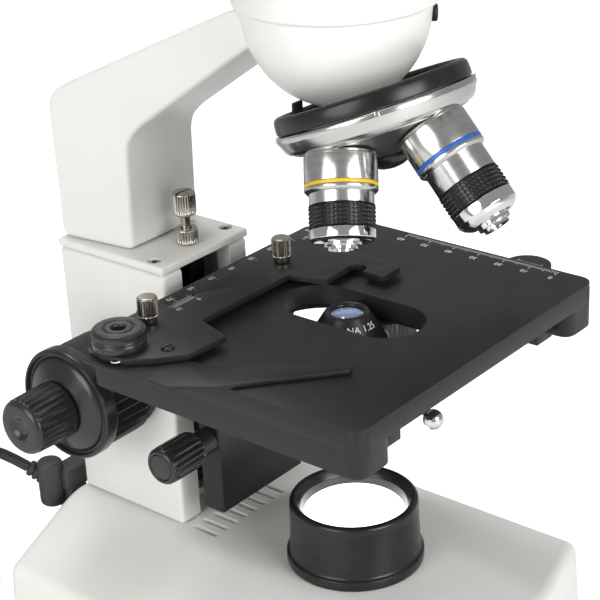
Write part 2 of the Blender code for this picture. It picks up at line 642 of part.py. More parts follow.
def build_stage_top():
    top = STAGE_TOP
    under = top - STAGE_THICKNESS
    outline = rounded_rectangle(-STAGE_HALF, STAGE_HALF, STAGE_FRONT, STAGE_BACK, 4 * MM)
    plate = prism("stage_top_plate", outline, under, top, "black_coat", FRAME)
    for side in (-1, 1):
        lip_outline = rounded_rectangle(
            min(side * LIP_INNER, side * STAGE_HALF), max(side * LIP_INNER, side * STAGE_HALF),
            STAGE_FRONT, STAGE_BACK, 4 * MM,
        )
        cutter(plate, prism(f"lip_{side}", lip_outline, LIP_BOTTOM, top - 1 * MM, None, FRAME), "UNION")
    hole = stadium(STAGE_HOLE_RADIUS, STAGE_HOLE_FRONT, STAGE_HOLE_BACK)
    cutter(plate, prism("stage_hole", hole, under - 5 * MM, top + 5 * MM, None, FRAME))
    soften(plate, 0.6 * MM, 1, 60)
    ruler = rounded_rectangle(-42 * MM, 44 * MM, 44.2 * MM, 52.2 * MM, 1 * MM, 1)
    prism("ruler_bar", ruler, top + GAP, top + 1.9 * MM, "black_coat", FRAME)
    tab = arc(63.5 * MM, -26.5 * MM, 8 * MM, -90, 90, 10)
    tab += [(61 * MM, -18.5 * MM), (61 * MM, -34.5 * MM)]
    cutter(plate, prism("vernier_tab", tab, top - 3.2 * MM, top - 1.2 * MM, None, FRAME), "UNION")

    drive_top = LIP_BOTTOM - GAP
    outer = empty("stage_drive_outer", (DRIVE_X, DRIVE_Y, 0), FRAME)
    inner = empty("stage_drive_inner", (DRIVE_X, DRIVE_Y, 0), FRAME)
    low = drive_top - 26 * MM
    knob_y = [
        (4.5 * MM, drive_top), (4.5 * MM, low + 14.6 * MM), (10.4 * MM, low + 14 * MM), (11 * MM, low + 13.2 * MM),
        (11 * MM, low + 0.8 * MM), (10.4 * MM, low), (2.8 * MM, low), (2.8 * MM, drive_top),
    ]
    turned("stage_knob_y", knob_y, "black_plastic", outer, steps=24)
    knob_low = low - 15 * MM
    knob_x = [
        (0, drive_top), (2.4 * MM, drive_top), (2.4 * MM, low - GAP), (8.4 * MM, low - GAP), (9 * MM, low - 1 * MM),
        (9 * MM, knob_low + 0.8 * MM), (8.2 * MM, knob_low), (0, knob_low),
    ]
    turned("stage_knob_x", knob_x, "black_plastic", inner, steps=24)


def build_slide_holder():
    low = HOLDER_TOP - HOLDER_THICKNESS
    holder = prism("slide_holder", holder_outline(), low, HOLDER_TOP, "black_coat", FRAME)
    foot = box("holder_slide", mm(-31, 34, 147.5), mm(26, 43.8, 149.6), None, FRAME)
    cutter(holder, foot, "UNION")
    disc_low = HOLDER_TOP + GAP
    disc = [
        (8 * MM, disc_low + 5.7 * MM), (8.3 * MM, disc_low + 5.3 * MM), (8.3 * MM, disc_low), (2.1 * MM, disc_low),
        (2.1 * MM, disc_low + 5.7 * MM),
    ]
    turned("finger_pivot_cap", disc, "black_plastic", FRAME, steps=24, location=(PIVOT_X, PIVOT_Y, 0))
    screw = mm_all([
        (0, 9.6), (2.8, 9.6), (3.3, 9), (3.3, 3.2), (2.9, 2.6), (1.8, 2.4), (1.8, 0.3), (0, 0.3),
    ])
    for name, x, y in (("thumb_screw_left", -48.5, 39.5), ("thumb_screw_right", 10.9, 35.6)):
        place = empty(f"{name}_axis", (x * MM, y * MM, HOLDER_TOP), FRAME)
        turned(name, screw, "nickel", place, steps=14)
    finger = empty("finger_axis", (PIVOT_X, PIVOT_Y, 0), FRAME)
    blade = [
        (-9.8, 6.9), (-9.8, 0), (-8.4, -20), (-8.6, -26.6), (-0.2, -39.4), (29.5, -64.5), (31.6, -64), (31.8, -62),
        (20.7, -43.4), (15.4, -34.4), (10.4, -32.6), (8.6, -28), (7.4, -20.6), (7, -12), (7.6, 0), (6.4, 5),
        (-3, 7.6),
    ]
    prism("spring_finger", mm_all(blade), 147.5 * MM, 148.9 * MM, "black_coat", finger)


def build_condenser():
    body = mm_all([
        (5.9, 146.8), (6.8, 146.8), (7.3, 146.2), (12.6, 138), (13, 137), (13, 131), (14.6, 130.4), (14.6, 112.6),
        (14, 112), (8, 112), (8, 140), (5.2, 143.6), (5.2, 146.2),
    ])
    barrel = turned("condenser_barrel", body, "black_coat", FRAME, steps=24)
    lens = mm_all([(0, 146.4), (2.6, 146.2), (4.9, 145.6), (4.9, 144.4), (0, 144.4)])
    turned("condenser_lens", lens, "glass", FRAME, steps=16)
    clasp = mm_all([(18, 121.5), (18, 114), (14.9, 114), (14.9, 121.5)])
    ring = turned("condenser_holder", clasp, "black_coat", FRAME, steps=24)
    cutter(ring, box("condenser_arm", mm(-8, 16.2, 114.4), mm(8, 39.7, 121), None, FRAME), "UNION")
    slot = box("iris_slot", mm(-16, -16, 123.6), mm(9, 3, 125.4), None, FRAME)
    cutter(barrel, slot)
    lever = empty("iris_axis", (0, 0, IRIS_Z), FRAME)
    stem = rod(
        "iris_lever", 0.8 * MM, 8.6 * MM, IRIS_REACH, "chrome", lever, steps=12,
        rotation=(0, math.radians(90), IRIS_ANGLE),
    )
    ball = mm_all([(0, 44.6), (1.9, 44), (3, 42.4), (3.2, 40.8), (3, 39.2), (1.9, 37.8), (0, 37.4)])
    tip = turned("iris_ball", ball, None, lever, steps=16, rotation=(0, math.radians(90), IRIS_ANGLE))
    cutter(stem, tip, "UNION")
    knob_axis = empty("condenser_knob_axis", (0, CONDENSER_KNOB_Y, CONDENSER_KNOB_Z), FRAME)
    knob = mm_all([
        (0, 44.1), (4.6, 44.1), (4.8, 44.6), (5.6, 44.6), (6.3, 43.8), (6.5, 29.4), (5.6, 28.6), (4.4, 28.4),
        (4.4, 21.4), (2.4, 21.4), (2.4, 6), (0, 6),
    ])
    turned("condenser_knob", knob, "black_plastic", knob_axis, steps=20, rotation=AGAINST_X)


def build_head():
    swivel = empty("head_axis", (0, 0, SEAM_Z), FRAME)
    base = mm_all([
        (0, 15), (22, 15), (25.5, 14), (29.5, 9), (30.8, 4), (30.8, 1.4), (30.2, 0.5), (29.4, 0.3), (0, 0.3),
    ])
    turned("head_base", base, "enamel", swivel, steps=32)
    centre = HEAD_CENTRE_Z - SEAM_Z
    rise = Matrix.Translation((0, 0, centre)) @ Matrix.Rotation(math.radians(90) - HEAD_RISE, 4, "X")
    body = box("head_body", mm(-25, -21, 15.3), mm(25, 25, 44), "enamel", swivel, 6 * MM, 3)
    drum = rod("head_drum", 18 * MM, 13 * MM, 30 * MM, None, None, steps=24)
    drum.parent = swivel
    drum.matrix_local = rise
    cutter(body, drum, "UNION")
    for side, name, low in ((-1, "left", 30.3 * MM), (1, "right", 40.6 * MM)):
        hinge = empty(f"tube_axis_{name}", parent=swivel, matrix=rise)
        # seen along the hinge, an oblong that runs from the hinge out to the tube
        radius = PRISM_ARM_RADIUS
        outline = arc(0, 0, radius, 90, 270, 8) + arc(TUBE_SPREAD, 0, radius, -90, 90, 8)
        outline = [(x * side, y) for x, y in outline]
        if side < 0:
            outline.reverse()
        arm = prism(f"prism_arm_{name}", outline, low, low + PRISM_ARM_THICKNESS, "enamel", hinge)
        tube_x = side * TUBE_SPREAD
        inside = low / MM + 5
        wall = mm_all([(14, 78), (15, 77), (15, inside), (11.9, inside), (11.9, 78)])
        tube = turned(f"tube_wall_{name}", wall, None, hinge, steps=20, location=(tube_x, 0, 0))
        soften(arm, 1.2 * MM, 1, 50)
        cutter(arm, tube, "UNION")
        eyepiece = mm_all([
            (0, 101), (11, 101), (12.4, 106), (14, 106), (15.4, 104.6), (15.4, 97), (16.2, 96), (16.2, 84.5),
            (15.6, 82), (15, 78.3), (11.6, 78.3), (11.6, 58), (0, 58),
        ])
        turned(f"eyepiece_{name}", eyepiece, "black_plastic", hinge, steps=20, location=(tube_x, 0, 0))


def smooth_route(points, per_span=3):
    """Points along a Catmull-Rom curve through the route's own points."""
    found = []
    ends = [points[0] * 2 - points[1], *points, points[-1] * 2 - points[-2]]
    for a, b, c, d in zip(ends, ends[1:], ends[2:], ends[3:]):
        for i in range(per_span):
            t = i / per_span
            found.append(
                0.5 * (2 * b + (c - a) * t + (2 * a - 5 * b + 4 * c - d) * t * t + (3 * b - a - 3 * c + d) * t ** 3)
            )
    return [*found, points[-1]]


def build_plug():
    """The angled plug: a post that the cord leaves, a shoulder, and a body that goes down to the socket."""
    plug = rod("cord_plug", 4.8 * MM, 47.5 * MM, 65.5 * MM, "black_plastic", FRAME, 16, 1.5 * MM, location=mm(-27, 121, 0))
    for name, low, high in (
        ("plug_shoulder", (-26, 113, 53.5), (-13, 122.5, 62)),
        ("plug_body", (-25, 112.8, 40), (-17, 120, 55)),
        ("plug_tongue", (-24, 110.8, 41), (-18, 113.8, 49)),
    ):
        cutter(plug, box(name, mm(*low), mm(*high), None, FRAME, 0.6 * MM), "UNION")
    return plug


def build_cord():
    plug = build_plug()
    route = [Vector(point) * MM for point in CORD_ROUTE]
    along = (route[1] - route[0]).normalized()
    sleeve = empty(
        "sleeve_axis", parent=FRAME,
        matrix=Matrix.Translation(route[0]) @ along.to_track_quat("Z", "Y").to_matrix().to_4x4(),
    )
    relief = mm_all([(2.2, -1), (2.9, -1.4), (3, -4.2), (2.5, -4.6), (2.5, -5.4), (3.5, -5.8), (3.7, -9), (0, -9)])
    grip = turned("strain_relief", [(0, -1 * MM), *relief], None, sleeve, steps=16)
    cutter(plug, grip, "UNION")
    curve = bpy.data.curves.new("cord", "CURVE")
    curve.dimensions = "3D"
    curve.bevel_depth = CORD_RADIUS
    curve.bevel_resolution = 2
    curve.use_fill_caps = True
    points = smooth_route(route)
    line = curve.splines.new("POLY")
    line.points.add(len(points) - 1)
    for point, place in zip(line.points, points):
        point.co = (*place, 1)
    curve.materials.append(finish_named("rubber"))
    cord = bpy.data.objects.new("cord", curve)
    PARTS.objects.link(cord)
    cord.parent = FRAME
    ring = [(COIL_OUTER, COIL_HEIGHT), (COIL_OUTER, 0), (COIL_INNER, 0), (COIL_INNER, COIL_HEIGHT)]
    turned("cord_coil", ring, "rubber", FRAME, steps=28, location=COIL_CENTRE)
    box("wall_adapter", mm(-3, 116.5, 0.3), mm(27, 146.5, 25), "black_plastic", FRAME, 2 * MM, 2)


AXIS_FIXED = empty("nosepiece_bearing_axis", parent=FRAME, matrix=nosepiece_matrix())
build_base()
build_lamp()
build_controls()
build_column()
build_arm()
build_nosepiece_mount()
build_nosepiece()
build_focus_drive()
build_stage_lift()
build_stage_top()
build_slide_holder()
build_condenser()
build_head()
build_cord()

bpy.context.view_layer.update()
for part in PARTS.objects:
    if part.type == "MESH":
        part.data.shade_smooth()
        part.data.set_sharp_from_angle(angle=math.radians(35))
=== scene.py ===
"""The looks of a laboratory microscope: its finished pieces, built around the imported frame."""

from __future__ import annotations

import json
import logging
import math
from dataclasses import dataclass, field
from enum import Enum
from typing import Sequence

import bmesh
import bpy
from mathutils import Matrix, Vector

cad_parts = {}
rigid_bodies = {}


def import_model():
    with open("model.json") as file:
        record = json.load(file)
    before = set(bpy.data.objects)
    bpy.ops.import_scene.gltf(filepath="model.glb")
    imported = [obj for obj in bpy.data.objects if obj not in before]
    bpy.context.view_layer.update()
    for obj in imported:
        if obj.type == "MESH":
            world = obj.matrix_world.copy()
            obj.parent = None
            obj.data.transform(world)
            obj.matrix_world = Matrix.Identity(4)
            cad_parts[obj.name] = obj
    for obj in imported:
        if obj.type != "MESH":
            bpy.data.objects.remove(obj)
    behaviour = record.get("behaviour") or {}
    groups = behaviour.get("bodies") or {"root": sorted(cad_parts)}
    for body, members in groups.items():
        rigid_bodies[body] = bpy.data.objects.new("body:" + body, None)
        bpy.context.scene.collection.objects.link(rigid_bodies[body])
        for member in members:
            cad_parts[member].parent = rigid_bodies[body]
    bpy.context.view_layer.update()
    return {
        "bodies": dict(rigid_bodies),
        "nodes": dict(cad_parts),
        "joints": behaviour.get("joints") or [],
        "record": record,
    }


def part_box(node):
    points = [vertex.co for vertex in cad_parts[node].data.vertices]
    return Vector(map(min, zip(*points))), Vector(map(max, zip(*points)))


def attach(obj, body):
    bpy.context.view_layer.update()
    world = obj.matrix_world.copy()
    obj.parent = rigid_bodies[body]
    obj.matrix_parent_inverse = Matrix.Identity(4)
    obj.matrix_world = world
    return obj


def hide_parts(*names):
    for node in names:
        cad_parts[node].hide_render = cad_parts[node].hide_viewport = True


LOG = logging.getLogger("microscope")
MM = 0.001
Pair = tuple[float, float]
Triple = tuple[float, float, float]

ALONG_X = Matrix.Rotation(math.radians(90), 4, "Y")
AGAINST_X = Matrix.Rotation(math.radians(-90), 4, "Y")


# ---------------------------------------------------------------- outlines


def arc(centre: Pair, radius: float, start: float, end: float, count: int) -> list[Pair]:
    """Points along an arc.

    Args:
        centre: The arc's centre.
        radius: Its radius.
        start: The first point's angle, in degrees.
        end: The last point's angle, in degrees.
        count: How many steps lie between them.

    Returns:
        count + 1 points.
    """
    turns = [math.radians(start + (end - start) * i / count) for i in range(count + 1)]
    return [(centre[0] + radius * math.cos(a), centre[1] + radius * math.sin(a)) for a in turns]


def rounded(points: Sequence[Pair], radius: float, steps: int = 4, closed: bool = False) -> list[Pair]:
    """Rounds the corners of a line of points, as a cutter with a soft nose leaves them.

    Args:
        points: The corners.
        radius: How far from a corner its rounding starts, at most.
        steps: How many edges replace a corner.
        closed: Whether the last point joins the first, so that both are rounded too.

    Returns:
        The new points.
    """
    made: list[Pair] = []
    count = len(points)
    for i, corner in enumerate(points):
        if not closed and i in (0, count - 1):
            made.append(corner)
            continue
        here = Vector(corner)
        before, after = Vector(points[i - 1]) - here, Vector(points[(i + 1) % count]) - here
        reach = min(radius, 0.45 * before.length, 0.45 * after.length)
        if reach < 1e-4 or before.angle(after, math.pi) > math.radians(172):
            made.append(corner)
            continue
        start, end = here + before.normalized() * reach, here + after.normalized() * reach
        for k in range(steps + 1):
            t = k / steps
            made.append(tuple(start * (1 - t) ** 2 + here * 2 * t * (1 - t) + end * t * t))
    return made


def rectangle(low: Pair, high: Pair) -> list[Pair]:
    """The four corners of a rectangle, anticlockwise."""
    return [(low[0], low[1]), (high[0], low[1]), (high[0], high[1]), (low[0], high[1])]


# ---------------------------------------------------------------- shapes


@dataclass(frozen=True)
class Flutes:
    """Grooves along a turned grip: how many, how deep, and between which heights."""

    count: int
    depth: float
    low: float
    high: float
    least_radius: float = 0.0
    sharpness: float = 1.0
    twist: float = 0.0


class Shape:
    """A mesh in the making, in millimetres."""

    def __init__(self) -> None:
        """Starts with nothing."""
        self.mesh = bmesh.new()

    def turn(self, profile: Sequence[Pair], steps: int = 72, flutes: Flutes | None = None,
             ring: bool = False) -> Shape:
        """Turns a profile about Z.

        Args:
            profile: (radius, height) pairs.
            steps: How many steps make the whole turn.
            flutes: Grooves to press into the grip, if any.
            ring: Whether the profile closes on itself.

        Returns:
            This shape.
        """
        made = bmesh.new()
        points = [made.verts.new((radius, 0, height)) for radius, height in profile]
        pairs = list(zip(points, points[1:]))
        if ring:
            pairs.append((points[-1], points[0]))
        edges = [made.edges.new(pair) for pair in pairs]
        bmesh.ops.spin(
            made, geom=[*points, *edges], cent=(0, 0, 0), axis=(0, 0, 1), angle=math.tau,
            steps=steps, use_merge=True, use_duplicate=False,
        )
        bmesh.ops.remove_doubles(made, verts=made.verts, dist=1e-4)
        if flutes:
            for vertex in made.verts:
                radius = vertex.co.xy.length
                if flutes.low <= vertex.co.z <= flutes.high and radius >= flutes.least_radius:
                    angle = math.atan2(vertex.co.y, vertex.co.x) + flutes.twist * vertex.co.z
                    wave = (0.5 - 0.5 * math.cos(angle * flutes.count)) ** flutes.sharpness
                    vertex.co.xy *= 1 - flutes.depth * wave / radius
        self._take(made)
        return self

    def extrude(self, outline: Sequence[Pair], low: float, high: float) -> Shape:
        """Raises a flat outline from one height to another.

        Args:
            outline: (x, y) pairs, each once.
            low: The lower height.
            high: The upper height.

        Returns:
            This shape.
        """
        made = bmesh.new()
        points = [made.verts.new((x, y, low)) for x, y in outline]
        edges = [made.edges.new(pair) for pair in zip(points, [*points[1:], points[0]])]
        face = bmesh.ops.contextual_create(made, geom=edges)["faces"]
        raised = bmesh.ops.extrude_face_region(made, geom=face)["geom"]
        tops = [item for item in raised if isinstance(item, bmesh.types.BMVert)]
        bmesh.ops.translate(made, vec=(0, 0, high - low), verts=tops)
        self._take(made)
        return self

    def block(self, low: Triple, high: Triple) -> Shape:
        """Adds a box between two corners."""
        made = bmesh.new()
        bmesh.ops.create_cube(made, size=1)
        size = Vector(high) - Vector(low)
        bmesh.ops.scale(made, vec=size, verts=made.verts)
        bmesh.ops.translate(made, vec=Vector(low) + size / 2, verts=made.verts)
        self._take(made)
        return self

    def hull(self, points: Sequence[Triple]) -> Shape:
        """Adds the tight skin round some points, with its flat faces whole."""
        made = bmesh.new()
        for point in points:
            made.verts.new(point)
        found = bmesh.ops.convex_hull(made, input=made.verts)
        inner = [item for item in found["geom_interior"] if isinstance(item, bmesh.types.BMVert)]
        bmesh.ops.delete(made, geom=inner, context="VERTS")
        bmesh.ops.dissolve_limit(
            made, angle_limit=math.radians(1), verts=made.verts, edges=made.edges
        )
        self._take(made)
        return self

    def soften(self, width: float, segments: int = 3, angle: float = 30) -> Shape:
        """Rounds the edges that are sharper than an angle.

        Args:
            width: The rounding's width.
            segments: How many faces cross it.
            angle: The least angle between two faces, in degrees.

        Returns:
            This shape.
        """
        bmesh.ops.recalc_face_normals(self.mesh, faces=self.mesh.faces)
        limit = math.radians(angle)
        sharp = [edge for edge in self.mesh.edges if edge.calc_face_angle(0) > limit]
        bmesh.ops.bevel(
            self.mesh, geom=sharp, offset=width, offset_type="OFFSET", segments=segments,
            profile=0.5, affect="EDGES", material=-1, clamp_overlap=True,
        )
        return self

    def place(self, matrix: Matrix) -> Shape:
        """Moves all of the shape so far."""
        bmesh.ops.transform(self.mesh, matrix=matrix, verts=self.mesh.verts)
        return self

    def shift(self, x: float, y: float, z: float = 0) -> Shape:
        """Slides all of the shape so far."""
        return self.place(Matrix.Translation((x, y, z)))

    def join(self, other: Shape) -> Shape:
        """Takes in another shape, which is used up."""
        self._take(other.mesh)
        return self

    def _take(self, made: bmesh.types.BMesh) -> None:
        """Copies another mesh into this one and frees it."""
        passing = bpy.data.meshes.new("passing")
        made.to_mesh(passing)
        made.free()
        self.mesh.from_mesh(passing)
        bpy.data.meshes.remove(passing)

    def to_mesh(self, name: str) -> bpy.types.Mesh:
        """Closes the work and gives the mesh, still in millimetres."""
        bmesh.ops.recalc_face_normals(self.mesh, faces=self.mesh.faces)
        mesh = bpy.data.meshes.new(name)
        self.mesh.to_mesh(mesh)
        self.mesh.free()
        return mesh


def carved(body: Shape, tools: Sequence[Shape], join: bool = False) -> Shape:
    """Cuts tools out of a body, or welds them onto it.

    Args:
        body: What is cut.
        tools: What cuts it. All are used up.
        join: Whether the tools are added instead.

    Returns:
        A new shape.
    """
    target = bpy.data.objects.new("carved", body.to_mesh("carved"))
    bpy.context.scene.collection.objects.link(target)
    knives = []
    for tool in tools:
        knife = bpy.data.objects.new("knife", tool.to_mesh("knife"))
        bpy.context.scene.collection.objects.link(knife)
        knives.append(knife)
        change = target.modifiers.new("cut", "BOOLEAN")
        change.operation = "UNION" if join else "DIFFERENCE"
        change.object = knife
        change.solver = "EXACT"
    bpy.context.view_layer.update()
    graph = bpy.context.evaluated_depsgraph_get()
    mesh = bpy.data.meshes.new_from_object(target.evaluated_get(graph))
    for old in [target, *knives]:
        data = old.data
        bpy.data.objects.remove(old)
        bpy.data.meshes.remove(data)
    made = Shape()
    made.mesh.from_mesh(mesh)
    bpy.data.meshes.remove(mesh)
    bmesh.ops.remove_doubles(made.mesh, verts=made.mesh.verts, dist=1e-3)
    bmesh.ops.dissolve_limit(
        made.mesh, angle_limit=math.radians(0.5), verts=made.mesh.verts, edges=made.mesh.edges
    )
    return made


def lettering(words: str, height: float, depth: float = 0.06) -> Shape:
    """Figures as a thin raised shape, centred on the origin in the XY plane.

    Args:
        words: Digits and plain signs.
        height: The height of a figure, in millimetres.
        depth: How far the figures stand up.

    Returns:
        The shape.
    """
    curve = bpy.data.curves.new("figures", "FONT")
    curve.body = words
    curve.size = height * 1.4
    curve.align_x = "CENTER"
    curve.align_y = "CENTER"
    curve.resolution_u = 3
    curve.extrude = depth / 2
    holder = bpy.data.objects.new("figures", curve)
    bpy.context.scene.collection.objects.link(holder)
    bpy.context.view_layer.update()
    graph = bpy.context.evaluated_depsgraph_get()
    mesh = bpy.data.meshes.new_from_object(holder.evaluated_get(graph))
    bpy.data.objects.remove(holder)
    bpy.data.curves.remove(curve)
    made = Shape()
    made.mesh.from_mesh(mesh)
    bpy.data.meshes.remove(mesh)
    bmesh.ops.remove_doubles(made.mesh, verts=made.mesh.verts, dist=1e-4)
    return made


def wrap_round(shape: Shape, radius: float, height: float, turn: float) -> Shape:
    """Bends a flat shape onto a cylinder about Z: x runs round it and y runs up it.

    Args:
        shape: The flat shape, centred on the origin.
        radius: The cylinder's radius.
        height: Where the shape's middle comes.
        turn: The angle of the shape's middle, in degrees.

    Returns:
        The same shape.
    """
    for vertex in shape.mesh.verts:
        x, y, z = vertex.co
        angle = math.radians(turn) + x / radius
        reach = radius + z
        vertex.co = (reach * math.cos(angle), reach * math.sin(angle), height + y)
    return shape


# ---------------------------------------------------------------- finishes


class Grain(Enum):
    """What a surface shows up close."""

    ENAMEL = "enamel"
    CRINKLE = "crinkle"
    MOULDED = "moulded"
    TURNED = "turned"
    BRUSHED = "brushed"
    PLAIN = "plain"


class Graph:
    """Adds shader nodes to a tree and joins them."""

    def __init__(self, tree: bpy.types.NodeTree) -> None:
        """Works in this tree."""
        self.tree = tree
        self.column = 0

    def add(self, kind: str, inputs: dict[str | int, object] | None = None,
            **settings: object) -> bpy.types.Node:
        """Adds a node.

        Args:
            kind: The node's type, without its prefix ShaderNode where it has one.
            inputs: Values for its sockets, or output sockets to join to them.
            settings: Values for its own properties.

        Returns:
            The node.
        """
        node = self.tree.nodes.new(kind if kind.startswith("Node") else f"ShaderNode{kind}")
        self.column += 1
        node.location = (self.column * 180, 0)
        for key, value in settings.items():
            setattr(node, key, value)
        for key, value in (inputs or {}).items():
            if isinstance(value, bpy.types.NodeSocket):
                self.tree.links.new(value, node.inputs[key])
            else:
                node.inputs[key].default_value = value
        return node

    def maths(self, operation: str, first: object, second: object = 0.0,
              clamp: bool = False) -> bpy.types.NodeSocket:
        """One step of arithmetic, as its output socket."""
        node = self.add("Math", {0: first, 1: second}, operation=operation, use_clamp=clamp)
        return node.outputs[0]

    def blend(self, factor: object, first: object, second: object) -> bpy.types.NodeSocket:
        """A mix of two colours, as its output socket."""
        node = self.add("Mix", {0: factor, 6: first, 7: second}, data_type="RGBA")
        return node.outputs[2]

    def noise(self, vector: object, scale: object, detail: float = 2.0,
              rough: float = 0.5) -> bpy.types.NodeSocket:
        """A noise's value, as its output socket."""
        inputs = {"Vector": vector, "Scale": scale, "Detail": detail, "Roughness": rough}
        return self.add("TexNoise", inputs).outputs["Fac"]


def new_group(name: str, inputs: dict[str, tuple[str, object]], outputs: dict[str, str]) -> tuple:
    """Starts a shader node group.

    Args:
        name: The group's name.
        inputs: Each input's socket type and its usual value.
        outputs: Each output's socket type.

    Returns:
        The group, a graph in it, its input node and its output node.
    """
    tree = bpy.data.node_groups.new(name, "ShaderNodeTree")
    for key, (kind, usual) in inputs.items():
        socket = tree.interface.new_socket(name=key, in_out="INPUT", socket_type=kind)
        if usual is not None:
            socket.default_value = usual
    for key, kind in outputs.items():
        tree.interface.new_socket(name=key, in_out="OUTPUT", socket_type=kind)
    graph = Graph(tree)
    return tree, graph, graph.add("NodeGroupInput"), graph.add("NodeGroupOutput")


FLOAT, VECTOR = "NodeSocketFloat", "NodeSocketVector"


class Effects:
    """The surface effects that several finishes share, each a node group made once."""

    def __init__(self) -> None:
        """Makes every group."""
        self.grains = {
            Grain.ENAMEL: self._enamel(),
            Grain.CRINKLE: self._crinkle(),
            Grain.MOULDED: self._moulded(),
            Grain.TURNED: self._turned(),
            Grain.BRUSHED: self._brushed(),
        }
        self.dust = self._dust()
        self.handling = self._handling()

    @staticmethod
    def _start(name: str) -> tuple:
        """A group with the sockets that all grains share."""
        inputs = {"Vector": (VECTOR, None), "Scale": (FLOAT, 1000.0)}
        return new_group(name, inputs, {"Height": FLOAT, "Tone": FLOAT})

    def _enamel(self) -> bpy.types.NodeTree:
        """Stoved paint: a very shallow orange peel under a slow mottle."""
        tree, graph, given, made = self._start("stoved_enamel")
        peel = graph.noise(given.outputs["Vector"], given.outputs["Scale"], 1.5, 0.4)
        slow = graph.noise(given.outputs["Vector"], 35.0, 3.0)
        tree.links.new(peel, made.inputs["Height"])
        tree.links.new(slow, made.inputs["Tone"])
        return tree

    def _crinkle(self) -> bpy.types.NodeTree:
        """Textured black coat: fine bumps, some of them sharper."""
        tree, graph, given, made = self._start("crinkle_coat")
        bumps = graph.noise(given.outputs["Vector"], given.outputs["Scale"], 2.0, 0.6)
        cells = graph.add(
            "TexVoronoi", {"Vector": given.outputs["Vector"], "Scale": given.outputs["Scale"]},
            feature="SMOOTH_F1",
        )
        height = graph.maths("MULTIPLY_ADD", cells.outputs["Distance"], 0.5)
        tree.links.new(bumps, height.node.inputs[2])
        slow = graph.noise(given.outputs["Vector"], 90.0, 4.0)
        tree.links.new(height, made.inputs["Height"])
        tree.links.new(slow, made.inputs["Tone"])
        return tree

    def _moulded(self) -> bpy.types.NodeTree:
        """Spark-eroded plastic: a fine even grain with faint flow marks."""
        tree, graph, given, made = self._start("moulded_plastic")
        fine = graph.noise(given.outputs["Vector"], given.outputs["Scale"], 3.0, 0.6)
        flow = graph.add(
            "TexWave", {"Vector": given.outputs["Vector"], "Scale": 28.0, "Distortion": 9.0, "Detail": 2.0}
        )
        tree.links.new(fine, made.inputs["Height"])
        tree.links.new(flow.outputs["Fac"], made.inputs["Tone"])
        return tree

    def _turned(self) -> bpy.types.NodeTree:
        """Metal from a lathe: fine rings about the piece's own axis, which is the vector's Z."""
        tree, graph, given, made = self._start("turned_metal")
        parts = graph.add("SeparateXYZ", {0: given.outputs["Vector"]})
        flat = graph.add("CombineXYZ", {0: parts.outputs[0], 1: parts.outputs[1]})
        reach = graph.add("VectorMath", {0: flat.outputs[0]}, operation="LENGTH").outputs["Value"]
        angle = graph.maths("ARCTAN2", parts.outputs[1], parts.outputs[0])
        round_way = graph.maths("MULTIPLY", angle, 0.0006)
        lathe = graph.add("CombineXYZ", {0: reach, 1: parts.outputs[2], 2: round_way})
        rings = graph.noise(lathe.outputs[0], given.outputs["Scale"], 4.0, 0.65)
        slow = graph.noise(lathe.outputs[0], 700.0, 2.0)
        tree.links.new(rings, made.inputs["Height"])
        tree.links.new(slow, made.inputs["Tone"])
        return tree

    def _brushed(self) -> bpy.types.NodeTree:
        """Metal brushed along the vector's X."""
        tree, graph, given, made = self._start("brushed_metal")
        long = graph.add("VectorMath", {0: given.outputs["Vector"], 1: (0.03, 1.0, 1.0)},
            operation="MULTIPLY")
        lines = graph.noise(long.outputs[0], given.outputs["Scale"], 4.0, 0.6)
        slow = graph.noise(long.outputs[0], 300.0, 2.0)
        tree.links.new(lines, made.inputs["Height"])
        tree.links.new(slow, made.inputs["Tone"])
        return tree

    def _dust(self) -> bpy.types.NodeTree:
        """A little dust on whatever faces up."""
        inputs = {"Vector": (VECTOR, None), "Amount": (FLOAT, 0.1)}
        tree, graph, given, made = new_group("settled_dust", inputs, {"Mask": FLOAT})
        facing = graph.add("SeparateXYZ", {0: graph.add("NewGeometry").outputs["Normal"]}).outputs[2]
        up = graph.maths("SUBTRACT", facing, 0.45, clamp=True)
        specks = graph.noise(given.outputs["Vector"], 2400.0, 5.0, 0.75)
        sharp = graph.add("MapRange", {0: specks, 1: 0.62, 2: 0.8})
        patches = graph.noise(given.outputs["Vector"], 60.0, 2.0)
        mask = graph.maths("MULTIPLY", graph.maths("MULTIPLY", up, sharp.outputs[0]), patches)
        scaled = graph.maths("MULTIPLY", mask, given.outputs["Amount"], clamp=True)
        tree.links.new(scaled, made.inputs["Mask"])
        return tree

    def _handling(self) -> bpy.types.NodeTree:
        """Where fingers have dulled or polished a surface, as broad soft patches."""
        inputs = {"Vector": (VECTOR, None), "Amount": (FLOAT, 0.1)}
        tree, graph, given, made = new_group("handling", inputs, {"Change": FLOAT})
        broad = graph.noise(given.outputs["Vector"], 55.0, 4.0, 0.6)
        centred = graph.maths("SUBTRACT", broad, 0.5)
        change = graph.maths("MULTIPLY", centred, given.outputs["Amount"])
        tree.links.new(change, made.inputs["Change"])
        return tree


